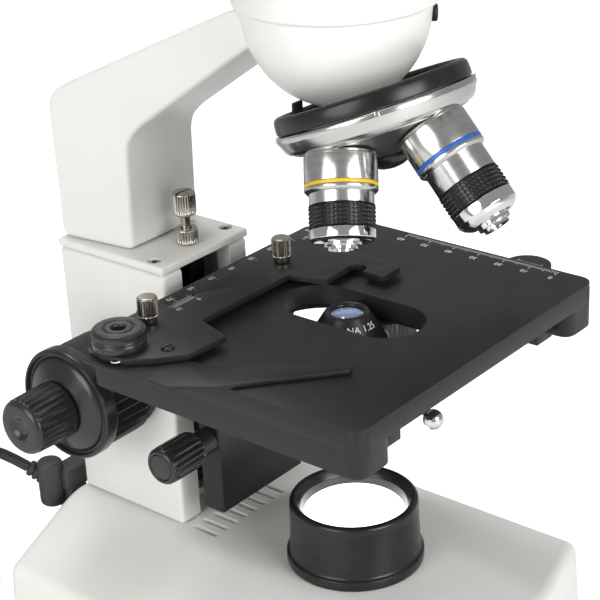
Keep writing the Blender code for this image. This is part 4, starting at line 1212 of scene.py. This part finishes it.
@dataclass
class FocusDrive:
    """The coaxial coarse and fine knobs on both sides."""

    y: float = 84.3
    z: float = 108.3
    face: float = 48
    inner: float = 24.3
    bore: float = 3.3

    def build(self, bench: Bench) -> None:
        """Makes both sides and dresses the shafts."""
        for word, turn in (("left", AGAINST_X), ("right", ALONG_X)):
            about = bench.axis(0, self.y, self.z, turn)
            self._coarse(bench, word, about)
            self._fine(bench, word, about)
            collar = rounded([(4.8, 24), (17, 24), (17.6, 23.4), (17.6, 21.3), (4.8, 21.3)], 0.4, 3, True)
            bench.put(Shape().turn(collar, 120, Flutes(40, 0.5, 21.5, 23.8, 17), ring=True),
                      f"tension_ring_{word}", Finishes.plastic, "stand", about, [f"tension_collar_{word}"])
        axle = bench.axis(0, self.y, self.z, ALONG_X)
        bench.dress("coarse_shaft_pinion", Finishes.steel, axle)
        bench.dress("fine_shaft", Finishes.steel, axle)

    def _coarse(self, bench: Bench, word: str, about: Matrix) -> None:
        """A coarse knob: a fluted drum behind a flange with a dished face."""
        face, back, bore = self.face, self.inner, self.bore
        profile = rounded([
            (bore, face + 2.4), (10.4, face + 2.4), (15.6, face + 0.2), (16.6, face - 0.6),
            (17.2, face - 1.4),
            (17.8, face - 1.4), (18.2, face), (19.0, face), (19.75, face - 0.8), (19.75, face - 5.4),
            (18.9, face - 6.2), (18.9, back + 1.2), (18.2, back), (4.8, back), (4.8, 42.3), (bore, 42.3),
        ], 0.4, 3, True)
        drum = Shape().turn(profile, 192, Flutes(32, 1.0, back + 1, face - 6, 18), ring=True)
        bench.put(drum, f"coarse_drum_{word}", Finishes.plastic, "coarse_drive", about,
                  [f"coarse_knob_{word}"], smooth=40)
        ring = Shape().turn(rounded([(18.25, face + 0.12), (19.1, face + 0.12), (19.3, face - 0.2),
                                    (18.1, face - 0.2)],
                                    0.1, 2, True), 96, ring=True)
        bench.put(ring, f"coarse_edge_{word}", Finishes.smooth_black, "coarse_drive", about)
        mark = Shape().block((-0.3, 11.4, face + 0.2), (0.3, 14.8, face + 1.2)).place(
            Matrix.Rotation(math.radians(35), 4, "Z"))
        bench.put(mark, f"coarse_mark_{word}", Finishes.engraving, "coarse_drive", about)

    def _fine(self, bench: Bench, word: str, about: Matrix) -> None:
        """A fine knob: ribbed, with a dished end."""
        low, end, bore = self.face + 3, 68, self.bore
        profile = rounded([
            (0, end - 1.4), (2.6, end - 1.3), (4.0, end - 0.2), (4.7, end), (8.3, end), (9.4, end - 1.1),
            (9.8, end - 2.4), (10.1, low + 0.8), (9.8, low), (bore, low), (bore, 62.3), (0, 62.3),
        ], 0.45, 3)
        grip = Shape().turn(profile, 180, Flutes(30, 0.75, low + 1.2, end - 1.6, 8.8, 0.7))
        bench.put(grip, f"fine_grip_{word}", Finishes.plastic, "fine_drive", about,
            [f"fine_knob_{word}"], smooth=40)


# ---------------------------------------------------------------- stage


@dataclass
class Stage:
    """The mechanical stage: its lower plate, its top plate with the scales, and its drive knobs."""

    top: float = 147.2
    under: float = 140.4
    half: float = 62.5
    front: float = -52.7
    back: float = 53
    lip_inner: float = 47
    lip_bottom: float = 132
    hole_radius: float = 12.5
    hole_front: float = -28
    hole_back: float = 24
    drive: Pair = (54, 26)
    scale_height: float = 0.07

    def opening(self, grow: float = 0, count: int = 20) -> list[Pair]:
        """The long hole over the condenser, grown by some millimetres."""
        reach = self.hole_radius + grow
        back = arc((0, self.hole_back - self.hole_radius), reach, 0, 180, count)
        return back + arc((0, self.hole_front + self.hole_radius), reach, 180, 360, count)

    def build(self, bench: Bench) -> None:
        """Makes the plates, the scales and the knobs."""
        self._top_plate(bench)
        self._lower_plate(bench)
        self._ruler(bench)
        self._side_scale(bench)
        self._knobs(bench)

    def _top_plate(self, bench: Bench) -> None:
        """The plate that carries the slide, with a lip down each side."""
        corners = rounded(rectangle((-self.half, self.front), (self.half, self.back)), 5.0, 6, True)
        plate = Shape().extrude(corners, self.under, self.top)
        lips = []
        for side in (-1, 1):
            near, far = sorted((side * self.lip_inner, side * (self.half - 0.01)))
            lips.append(Shape().extrude(
                rounded(rectangle((near, self.front + 0.01), (far, self.back - 0.01)), 4.6, 6, True),
                self.lip_bottom, self.top - 2))
        tab = arc((63.5, -26.5), 8, -90, 90, 24) + [(60, -18.5), (60, -34.5)]
        lips.append(Shape().extrude(tab, self.top - 3.2, self.top - 1.2))
        plate = carved(plate, lips, join=True)
        plate = carved(plate, [Shape().extrude(self.opening(), self.under - 9, self.top + 5)])
        plate.soften(0.55, 3, 50)
        bench.put(plate, "stage_plate", Finishes.coat, "stage", replaces=["stage_top_plate"], smooth=40)

    def _lower_plate(self, bench: Bench) -> None:
        """The plate that the top one slides on, with its two rails."""
        outline = rounded(rectangle((-45, -48), (45, 50)), 2.5, 4, True)
        plate = Shape().extrude(outline, 136, 140)
        rails = [Shape().block((x + 0.6, -47.5, 132.4), (x + 9.4, 45, 137)) for x in (-46, 36)]
        plate = carved(plate, rails, join=True)
        hole = arc((0, 11), 19, 0, 180, 24) + arc((0, -15), 19, 180, 360, 24)
        plate = carved(plate, [Shape().extrude(hole, 130, 145)]).soften(0.4, 2, 50)
        bench.put(plate, "stage_slide_plate", Finishes.coat, "stage_lift", replaces=["stage_lower_plate"])

    def _ruler(self, bench: Bench) -> None:
        """The bar along the back with its millimetre scale."""
        low, top = self.top + 0.3, self.top + 1.9
        bar = Shape().extrude(rounded(rectangle((-42, 44.2), (44, 52.2)), 1, 3, True), low,
            top).soften(0.25, 2)
        bench.put(bar, "ruler", Finishes.smooth_black, "stage", replaces=["ruler_bar"])
        marks = Shape()
        for index in range(81):
            x = -39 + index
            length = 2.6 if index % 10 == 0 else 1.9 if index % 5 == 0 else 1.3
            marks.block((x - 0.09, 44.6, top - 0.05), (x + 0.09, 44.6 + length, top + self.scale_height))
            if index % 10 == 0:
                figures = lettering(str(80 - index), 1.9).place(Matrix.Rotation(math.pi, 4, "Z"))
                marks.join(figures.shift(x, 49.4, top))
        bench.put(marks, "ruler_scale", Finishes.engraving, "stage")

    def _side_scale(self, bench: Bench) -> None:
        """The scale along the right edge and the line on its tab."""
        marks = Shape()
        for index in range(61):
            y = -40 + index
            length = 2.8 if index % 10 == 0 else 2.1 if index % 5 == 0 else 1.5
            x = self.half - 1.2
            marks.block((x - length, y - 0.09, self.top - 0.05), (x, y + 0.09, self.top + self.scale_height))
            if index % 10 == 0:
                figures = lettering(str(index), 2.0).place(Matrix.Rotation(math.radians(90), 4, "Z"))
                marks.join(figures.shift(x - 5.2, y, self.top))
        for index in range(11):
            y = -31 + index * 0.9
            length = 2.2 if index in (0, 10) else 1.6
            marks.block((63.6, y - 0.09, self.top - 1.25), (63.6 + length, y + 0.09, self.top - 1.13))
        bench.put(marks, "edge_scale", Finishes.engraving, "stage")

    def _knobs(self, bench: Bench) -> None:
        """The two coaxial knobs that hang below the right lip."""
        top, low = 131.7, 105.7
        about = bench.axis(*self.drive, 0)
        outer = rounded([(2.8, top), (4.5, top), (4.5, low + 14.6), (10, low + 14.2), (11, low + 13.2),
                         (11, low + 0.8), (10.4, low), (2.8, low)], 0.5, 3, True)
        bench.put(Shape().turn(outer, 144, Flutes(36, 0.6, low + 1, low + 13, 9.5), ring=True),
                  "forward_knob",
                  Finishes.plastic, "stage_knob_y", about, ["stage_knob_y"])
        inner = rounded([(0, top), (2.4, top), (2.4, low - 0.3), (8.4, low - 0.3), (9, low - 1),
                         (9, low - 14.2),
                         (8.2, low - 15), (0, low - 15)], 0.5, 3)
        bench.put(Shape().turn(inner, 120, Flutes(30, 0.6, low - 14, low - 1.2, 7.8)), "sideways_knob",
                  Finishes.plastic, "stage_knob_x", about, ["stage_knob_x"])


@dataclass
class SlideHolder:
    """The slide holder with its thumb screws, its sprung finger and the finger's pivot."""

    top: float = 151.2
    thickness: float = 2.0
    pivot: Pair = (-65.3, 35.4)

    outline: tuple[Pair, ...] = (
        (-38.1, 27.1), (3.9, 27.0), (7.5, 14.0), (18.4, 14.6), (19.6, 8.6), (19.2, 1.4), (20.6, 0),
        (28.6, 0.2),
        (31.4, 2.6), (32, 38), (29, 43.6), (-33, 43.6), (-35, 47.4), (-66, 48.4), (-71.4, 43), (-73.4, 35.4),
        (-71.4, 27), (-66, 20.4), (-58, 14.2), (-42.7, 12.8),
    )
    finger: tuple[Pair, ...] = (
        (-9.8, 6.9), (-9.8, 0), (-8.4, -20), (-8.6, -26.6), (-0.2, -39.4), (29.5, -64.5), (31.6, -64),
        (31.8, -62), (20.7, -43.4), (15.4, -34.4), (10.4, -32.6), (8.6, -28), (7.4, -20.6), (7, -12),
        (7.6, 0),
        (6.4, 5), (-3, 7.6),
    )

    def build(self, bench: Bench) -> None:
        """Makes the plate and what it carries."""
        self._plate(bench)
        self._finger(bench)
        self._pivot(bench)
        for word, place in (("left", (-48.5, 39.5)), ("right", (10.9, 35.6))):
            self._thumb_screw(bench, word, place)

    def _plate(self, bench: Bench) -> None:
        """The angled plate that holds the slide."""
        low = self.top - self.thickness
        notch = arc((20.4, 11.6), 3.2, 118, -104, 14)
        line = [*self.outline[:4], *notch, *self.outline[4:]]
        plate = Shape().extrude(line, low, self.top)
        foot = Shape().block((-31, 34, 147.5), (26, 43.8, low + 0.4))
        plate = carved(plate, [foot], join=True)
        window = rounded([(-36.5, 41.6), (-24.5, 41.6), (-25.5, 47.6), (-35.5, 47.6)], 0.6, 2, True)
        plate = carved(plate, [Shape().extrude(window, low - 5, self.top + 4)])
        plate.soften(0.3, 2, 50)
        bench.put(plate, "holder_plate", Finishes.coat, "slide_holder", replaces=["slide_holder"])
        screw = Shape().turn(rounded([(0, 0.9), (1.5, 0.9), (2.1, 0.5), (2.1, -1), (0, -1)], 0.2, 2), 36)
        screw = carved(screw, [Shape().block((-3, -0.3, 0.45), (3, 0.3, 3))])
        bench.put(screw, "holder_screw", Finishes.smooth_black, "slide_holder",
            bench.axis(-58.9, 21.6, self.top))
        marks = Shape()
        for index in range(11):
            x = -36 + index * 0.9
            marks.block((x - 0.09, 40.0, self.top - 0.05), (x + 0.09, 41.4, self.top + 0.07))
        marks.join(lettering("0", 1.7).place(Matrix.Rotation(math.pi, 4, "Z")).shift(-27, 38.4, self.top))
        marks.join(lettering("10", 1.7).place(Matrix.Rotation(math.pi, 4, "Z")).shift(-36, 38.4, self.top))
        bench.put(marks, "holder_vernier", Finishes.engraving, "slide_holder")

    def _finger(self, bench: Bench) -> None:
        """The sprung finger that presses the slide home, and its spring's silver hook."""
        about = bench.axis(*self.pivot, 0)
        blade = Shape().extrude(rounded(self.finger, 1.2, 3, True), 147.5, 148.9).soften(0.25, 2, 50)
        bench.put(blade, "finger_blade", Finishes.coat, "spring_finger", about, ["spring_finger"])
        eye = arc((0, 0), 1.5, 0, 330, 18)
        wire = Shape()
        for index, (x, y) in enumerate(eye):
            ball = Shape().turn([(0, 0.4), (0.28, 0.28), (0.4, 0), (0.28, -0.28), (0, -0.4)], 12)
            wire.join(ball.shift(x, y, index * 0.03))
        bench.put(wire, "finger_spring_eye", Finishes.nickel, "spring_finger", about @ Matrix.Translation(
            Vector((-6.2, -4.6, 149.5)) * MM))

    def _pivot(self, bench: Bench) -> None:
        """The ribbed cap over the finger's pivot."""
        low = self.top + 0.3
        profile = rounded([
            (2.1, low + 5.2), (2.6, low + 5.7), (4.2, low + 5.7), (4.4, low + 5.4), (4.8, low + 5.4),
            (5.0, low + 5.7), (7.5, low + 5.7), (8.3, low + 4.9), (8.3, low + 3.0), (8.0, low + 2.7),
            (8.0, low + 2.3), (8.3, low + 2.0), (8.3, low), (2.1, low),
        ], 0.2, 2, True)
        cap = Shape().turn(profile, 96, Flutes(48, 0.25, low + 3.1, low + 4.8, 8.1), ring=True)
        about = bench.axis(*self.pivot, 0)
        bench.put(cap, "pivot_cap", Finishes.plastic, "slide_holder", about, ["finger_pivot_cap"])
        pin = Shape().turn(rounded([(0, low + 3.6), (1.9, low + 3.6), (1.9, low), (0, low)], 0.2, 2), 32)
        bench.put(pin, "pivot_pin", Finishes.smooth_black, "slide_holder", about)

    def _thumb_screw(self, bench: Bench, word: str, place: Pair) -> None:
        """One knurled screw."""
        profile = rounded([(0, 8.8), (2.8, 8.8), (3.3, 8.2), (3.3, 2.6), (2.9, 2.1), (2.7, 0.3),
            (0, 0.3)], 0.3, 3)
        screw = Shape().turn(profile, 96, Flutes(24, 0.4, 2.7, 8.1, 2.8))
        bench.put(screw, f"thumb_screw_head_{word}", Finishes.nickel, f"thumb_screw_{word}",
                  bench.axis(*place, self.top), [f"thumb_screw_{word}"], smooth=50)


@dataclass
class Condenser:
    """The condenser under the stage, its holder, its knob and its iris lever."""

    iris_height: float = 124.5
    iris_turn: float = -104
    figures_turn: float = -110

    def build(self, bench: Bench) -> None:
        """Makes the barrel, the lens, a painted glow under the lens, the holder, the knob and the lever."""
        about = bench.axis(0, 0, 0)
        profile = rounded([
            (5.2, 146.2), (5.9, 146.8), (6.9, 146.8), (7.4, 146.1), (12.4, 138.3), (13, 137.4), (13, 131.4),
            (13.2, 130.9), (14.6, 130.4), (14.6, 112.6), (14, 112), (8, 112), (8, 140), (5.2, 143.6),
        ], 0.3, 3, True)
        barrel = Shape().turn(profile, 96, Flutes(48, 0.35, 113.2, 120, 14.2), ring=True)
        slot = Shape().block((-16, -16, 123.6), (9, 3, 125.4))
        bench.put(carved(barrel, [slot]), "condenser_body", Finishes.smooth_black, "condenser", about,
                  ["condenser_barrel"])
        dome = [(0, 146.55), (1.6, 146.48), (3.2, 146.2), (4.9, 145.6), (4.9, 144.4), (0, 144.4)]
        bench.put(Shape().turn(dome, 64), "condenser_top_lens", Finishes.lens, "condenser", about,
                  ["condenser_lens"], smooth=50)
        # A glowing disc under the top lens: painted light that stands for the lamp's light coming up through
        # the condenser.
        back = Shape().turn([(0, 144.3), (5.1, 144.3), (5.1, 143.9), (0, 143.9)], 48)
        bench.put(back, "condenser_painted_glow", Finishes.lamp, "condenser", about)
        ring = Shape().turn(rounded([(18, 121.5), (18, 114), (14.9, 114), (14.9, 121.5)], 0.4, 3, True),
            96, ring=True)
        arm = Shape().block((-8, 16.2, 114.4), (8, 39.7, 121)).soften(0.6, 2)
        bench.put(carved(ring, [arm], join=True), "condenser_collar", Finishes.coat, "condenser",
                  replaces=["condenser_holder"])
        self._figures(bench, about)
        self._knob(bench)
        self._lever(bench)

    def _figures(self, bench: Bench, about: Matrix) -> None:
        """The aperture's figures, bent onto the cone below the lens."""
        words = lettering("NA 1.25", 2.2)
        slope = math.atan2(138.3 - 146.1, 12.4 - 7.4)
        for vertex in words.mesh.verts:
            x, y, z = vertex.co
            down = -y
            radius = 9.1 + down * math.cos(slope) + z * 1.0
            height = 143.5 + down * math.sin(slope) + z * 0.6
            angle = math.radians(self.figures_turn) + x / 9.1
            vertex.co = (radius * math.cos(angle), radius * math.sin(angle), height)
        bench.put(words, "aperture_figures", Finishes.engraving, "condenser", about)

    def _knob(self, bench: Bench) -> None:
        """The fluted knob that raises the condenser."""
        about = bench.axis(0, 44.5, 95.8, AGAINST_X)
        profile = rounded([
            (0, 44.0), (4.5, 44.0), (4.8, 44.5), (5.5, 44.6), (6.3, 43.8), (6.5, 41), (6.5, 30.2),
            (6.1, 28.8),
            (4.6, 28.4), (4.4, 21.4), (2.4, 21.4), (2.4, 6), (0, 6),
        ], 0.4, 3)
        knob = Shape().turn(profile, 144, Flutes(18, 0.75, 29.4, 43.2, 5.8, 1.6))
        bench.put(knob, "condenser_grip", Finishes.plastic, "condenser_knob", about, ["condenser_knob"],
            smooth=45)
        disc = Shape().turn(rounded([(0, 44.35), (4.2, 44.35), (4.4, 44.0), (4.4, 43.6), (0, 43.6)],
            0.1, 2), 48)
        bench.put(disc, "condenser_grip_face", Finishes.matt_plastic, "condenser_knob", about)

    def _lever(self, bench: Bench) -> None:
        """The iris lever with its ball."""
        turn = Matrix.Rotation(math.radians(self.iris_turn), 4, "Z") @ ALONG_X
        about = bench.axis(0, 0, self.iris_height, turn)
        profile: list[Pair] = [(0, 44.4)]
        for index in range(1, 12):
            angle = math.radians(180 * index / 13)
            profile.append((3.2 * math.sin(angle), 41.2 + 3.2 * math.cos(angle)))
        profile += [(0.8, 37.9), (0.8, 9), (0, 9)]
        bench.put(Shape().turn(profile, 48), "iris_handle", Finishes.bright, "iris_lever", about,
            ["iris_lever"])


# ---------------------------------------------------------------- nosepiece


@dataclass(frozen=True)
class Lens:
    """One objective: where its steps come below the port, in millimetres, and its ring's finish."""

    node: str
    turn: float
    ring: Finish
    flange: float
    neck: float
    grip: float
    nose: float
    tip: tuple[Pair, ...]
    front_radius: float
    figures: tuple[str, str]


@dataclass
class Nosepiece:
    """The turning nosepiece and its four objectives."""

    tilt: float = 22
    circle: float = 18
    port_z: float = 203.6
    dish_drop: float = 3.3
    barrel: float = 10.75

    def lenses(self) -> list[Lens]:
        """The four objectives, from the working one round."""
        return [
            Lens("objective_4x", 0, Finishes.red, 12.8, 14.6, 20.4, 22.5, ((6, 23.2), (5.6, 23.2)), 4.4,
                 ("4/0.10", "160/-")),
            Lens("objective_10x", 90, Finishes.yellow, 14.5, 17.7, 24.5, 27.6,
                 ((8.35, 28.3), (5.45, 28.4), (5.45, 29.4), (4.3, 29.5), (4.3, 30.4)), 3.2,
                 ("10/0.25", "160/0.17")),
            Lens("objective_40x", 180, Finishes.blue, 15.4, 22.3, 29.4, 32.7,
                 ((8.6, 34.0), (6.9, 35.2), (5.1, 35.4), (5.1, 36.8), (4.0, 36.9), (4.0, 37.9)), 2.3,
                 ("40/0.65", "160/0.17")),
            Lens("objective_100x", 270, Finishes.white_ring, 15.4, 23.0, 30.0, 32.2,
                 ((8.2, 34), (6, 35.6), (4.6, 36), (4.6, 37.4), (3, 37.8), (3, 38.3)), 1.5,
                 ("100/1.25", "160/0.17")),
        ]

    def frame(self, bench: Bench) -> Matrix:
        """Z points up the turning axis and X from its centre to the working port."""
        joint = next(item for item in bench.frame["joints"] if item["name"] == "nosepiece_turn")
        centre, up = Vector(joint["pos_m"]), Vector(joint["axis"]).normalized()
        port = bench.optical + Vector((0, 0, self.port_z)) * MM
        along = (port - centre).normalized()
        side = up.cross(along)
        return Matrix.Translation(centre) @ Matrix((along, side, up)).transposed().to_4x4()

    def build(self, bench: Bench) -> None:
        """Makes the discs and the objectives."""
        about = self.frame(bench)
        slope = math.tan(math.radians(self.tilt))

        def dish(radius: float) -> Pair:
            """A place on the dish under the nosepiece."""
            return (radius, (radius - self.circle) * slope - self.dish_drop)

        disc = rounded([(0, 7), (30.1, 7), (30.75, 6.5), (30.75, 5.2), (29.3, 1.9), dish(28.4)], 0.3, 3)
        disc += [dish(28), (27.6, dish(28)[1] + 0.35), (27.3, dish(27)[1] + 0.3), dish(27), dish(9),
            dish(7.2), (0, dish(7.2)[1])]
        bench.put(Shape().turn(disc, 144), "nosepiece_plate", Finishes.chrome, "nosepiece", about,
                  ["nosepiece_disc"], smooth=25)
        liner = [(26.9, dish(26.9)[1] - 0.12), dish(26.9), dish(8), (8, dish(8)[1] - 0.12)]
        bench.put(Shape().turn(liner, 144, ring=True), "nosepiece_dish", Finishes.dish, "nosepiece", about)
        rim = rounded([(26.4, 11.6), (27.4, 12.5), (28.7, 12.5), (29.7, 11.6), (30.0, 9.4), (30.0, 7.3),
                       (26.4, 7.3)], 0.5, 4, True)
        grip = Shape().turn(rim, 240, Flutes(4, 0.0, 7.5, 11, 29.5), ring=True)
        bench.put(grip, "nosepiece_grip", Finishes.smooth_black, "nosepiece", about, ["nosepiece_rim"])
        notches = Shape()
        for index in range(4):
            notch = Shape().block((29.9, -0.7, 5.2), (31.0, 0.7, 6.9)).soften(0.2, 2)
            notches.join(notch.place(Matrix.Rotation(math.radians(45 + 90 * index), 4, "Z")))
        bench.put(notches, "click_notches", Finishes.steel, "nosepiece", about)
        hub = rounded([(0, -7.6), (6.9, -7.6), (6.9, -8.6), (5.6, -10.4), (3.6, -11.6), (0, -12.2)], 0.8, 5)
        bench.put(Shape().turn(hub, 64), "nosepiece_hub", Finishes.plastic, "nosepiece", about,
                  ["nosepiece_hub_cap"])
        for lens in self.lenses():
            self._objective(bench, about, lens)

    def _objective(self, bench: Bench, about: Matrix, lens: Lens) -> None:
        """One objective: its barrel, its coloured ring, its knurled grip, its nose and its front lens."""
        port = about @ Matrix.Rotation(math.radians(lens.turn), 4, "Z") @ Matrix.Translation(
            (self.circle * MM, 0, 0)) @ Matrix.Rotation(math.radians(-self.tilt), 4, "Y")
        word = lens.node
        radius, flange = self.barrel, lens.flange
        band = flange - 2.9
        body = rounded([
            (0, -2.9), (radius - 0.25, -2.9), (radius - 0.25, -3.6), (radius, -3.9), (radius, -band + 0.12),
            (radius - 0.22, -band), (radius - 0.22, -band - 1.0), (radius, -band - 1.12),
            (radius, -flange + 0.9),
            (radius - 0.9, -flange), (9.45, -flange), (9.45, -lens.neck), (0, -lens.neck),
        ], 0.12, 2)
        bench.put(Shape().turn(body, 96), f"{word}_barrel", Finishes.chrome, "nosepiece", port, [word],
            smooth=25)
        ring = Shape().turn(rounded([
            (radius - 0.35, -band - 0.02), (radius - 0.02, -band - 0.02), (radius - 0.02, -band - 0.98),
            (radius - 0.35, -band - 0.98)], 0.08, 2, True), 96, ring=True)
        bench.put(ring, f"{word}_ring", lens.ring, "nosepiece", port)
        self._grip(bench, port, lens)
        nose = rounded([(0, -lens.grip), (9.2, -lens.grip), (9.5, -lens.grip - 0.3), (9.5, -lens.nose),
                        *[(r, -d) for r, d in lens.tip]], 0.2, 3)
        end = lens.tip[-1][1]
        nose += [(lens.front_radius, -end), (lens.front_radius - 0.3, -end + 1.2), (0, -end + 1.2)]
        bench.put(Shape().turn(nose, 96), f"{word}_nose", Finishes.bright, "nosepiece", port, smooth=25)
        glass = Shape().turn([(0, -end + 0.35), (lens.front_radius - 0.35, -end + 0.6),
                              (lens.front_radius - 0.35, -end + 1.15), (0, -end + 1.15)], 48)
        bench.put(glass, f"{word}_front_lens", Finishes.lens, "nosepiece", port)
        figures = Shape()
        middle = -(3.9 + band) / 2
        for row, words in enumerate(lens.figures):
            figures.join(wrap_round(lettering(words, 1.55, 0.05), radius, middle + 1.3 - 2.6 * row, 165))
        bench.put(figures, f"{word}_figures", Finishes.dark_fill, "nosepiece", port)

    def _grip(self, bench: Bench, port: Matrix, lens: Lens) -> None:
        """The black grip: rows of small knurls between plain edges."""
        rows = 5
        low, high = lens.neck + 0.1, lens.grip - 0.05
        pitch = (high - low - 0.6) / rows
        profile: list[Pair] = [(9.2, -low), (9.65, -low - 0.1)]
        for row in range(rows):
            start = low + 0.3 + row * pitch
            profile += [(9.05, -start), (9.72, -start - 0.34 * pitch), (9.72, -start - 0.66 * pitch),
                        (9.05, -start - pitch)]
        profile += [(9.65, -high + 0.1), (9.2, -high)]
        grip = Shape().turn(profile, 252, Flutes(42, 0.62, -high + 0.3, -low - 0.3, 9.3), ring=True)
        bench.put(grip, f"{lens.node}_grip", Finishes.smooth_black, "nosepiece", port, smooth=60)


# ---------------------------------------------------------------- head


@dataclass
class Head:
    """The binocular head over the bowl: its turning base, its prism body, its tubes and its eyepieces."""

    seam: float = 246
    centre: float = 271
    rise: float = 30
    spread: float = 32

    def build(self, bench: Bench) -> None:
        """Makes the whole head."""
        about = bench.axis(0, 0, self.seam)
        base = rounded([
            (0, 15), (22, 15), (25.5, 14), (29.5, 9), (30.8, 4.2), (30.8, 1.4), (30.2, 0.5),
            (29.4, 0.3), (0, 0.3),
        ], 1.5, 6)
        bench.put(Shape().turn(base, 128), "head_ring", Finishes.enamel, "head", about, ["head_base"],
            smooth=40)
        screw = Shape().turn(rounded([(0, 3.2), (2.2, 3.2), (2.6, 2.8), (2.6, 0), (0, 0)], 0.3, 3), 40)
        screw = carved(screw, [Shape().turn([(0, 5), (1.3, 5), (1.3, 1.6), (0, 1.6)], 6)])
        side = Matrix.Rotation(math.radians(-58), 4, "Z") @ ALONG_X
        bench.put(screw, "head_lock_screw", Finishes.smooth_black, "stand",
                  bench.axis(0, 0, self.seam - 3.6) @ side @ Matrix.Translation((0, 0, 0.0265)))
        axis = bench.axis(0, 0, self.centre, Matrix.Rotation(math.radians(90 - self.rise), 4, "X"))
        body = Shape().block((-25, -21, 15.3), (25, 25, 44)).soften(6, 6)
        drum = Shape().turn(rounded([(0, 30), (18, 30), (18, 13), (0, 13)], 0.8, 3), 72)
        local = Matrix.Translation((0, 0, 25)) @ Matrix.Rotation(math.radians(90 - self.rise), 4, "X")
        bench.put(carved(body, [drum.place(local)], join=True), "prism_housing", Finishes.enamel,
                  "head", about,
                  ["head_body"], smooth=40)
        for side_sign, word, low, high in ((-1, "left", 30.3, 40.3), (1, "right", 40.6, 50.6)):
            self._tube(bench, axis, side_sign, word, low, high)

    def _tube(self, bench: Bench, axis: Matrix, side: int, word: str, low: float, high: float) -> None:
        """One prism arm with its tube and eyepiece."""
        outline = arc((0, 0), 16.5, 90, 270, 28) + arc((self.spread, 0), 16.5, -90, 90, 28)
        outline = [(x * side, y) for x, y in outline]
        arm = Shape().extrude(outline, low, high).soften(1.3, 4, 50)
        wall = rounded([(11.9, 78), (14.2, 78), (15, 77.2), (15, low + 5), (11.9, low + 5)], 0.3, 3, True)
        tube = Shape().turn(wall, 72, ring=True).shift(side * self.spread, 0)
        bench.put(carved(arm, [tube], join=True), f"tube_{word}", Finishes.enamel, f"tube_{word}", axis,
                  [f"prism_arm_{word}"], smooth=40)
        place = axis @ Matrix.Translation((side * self.spread * MM, 0, 0))
        body = "eyepiece_left" if word == "left" else "tube_right"
        cup = rounded([
            (0, 101.6), (11, 101.6), (11.8, 106), (13.6, 106), (15.0, 104.8), (15.4, 103), (15.4, 97),
            (15.9, 96.2),
            (16.2, 95.2), (16.2, 85.2), (15.8, 83.6), (15.2, 82.6), (15, 78.3), (11.6, 78.3),
            (11.6, 58), (0, 58),
        ], 0.6, 4)
        grip = Shape().turn(cup, 160, Flutes(40, 0.35, 85.6, 94.6, 16))
        bench.put(grip, f"eyepiece_barrel_{word}", Finishes.matt_plastic, body, place, [f"eyepiece_{word}"])
        glass = [(0, 103.4), (4, 103.2), (8, 102.5), (9.6, 101.9), (9.6, 101.65), (0, 101.65)]
        bench.put(Shape().turn(glass, 64), f"eye_lens_{word}", Finishes.lens, body, place)


# ---------------------------------------------------------------- all of it


def main() -> None:
    """Builds every sub-assembly in order."""
    logging.basicConfig(level=logging.INFO, format="%(name)s %(message)s")
    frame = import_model()
    bench = Bench(frame, Effects())
    Setting().build(bench)
    for assembly in (PowerLead(), Base(), Lamp(), Column(), Arm(), FocusDrive(), Stage(), SlideHolder(),
                     Condenser(), Nosepiece(), Head()):
        assembly.build(bench)
        LOG.info("%s done, %d pieces so far", type(assembly).__name__, bench.count)


if __name__ == "__main__":
    main()
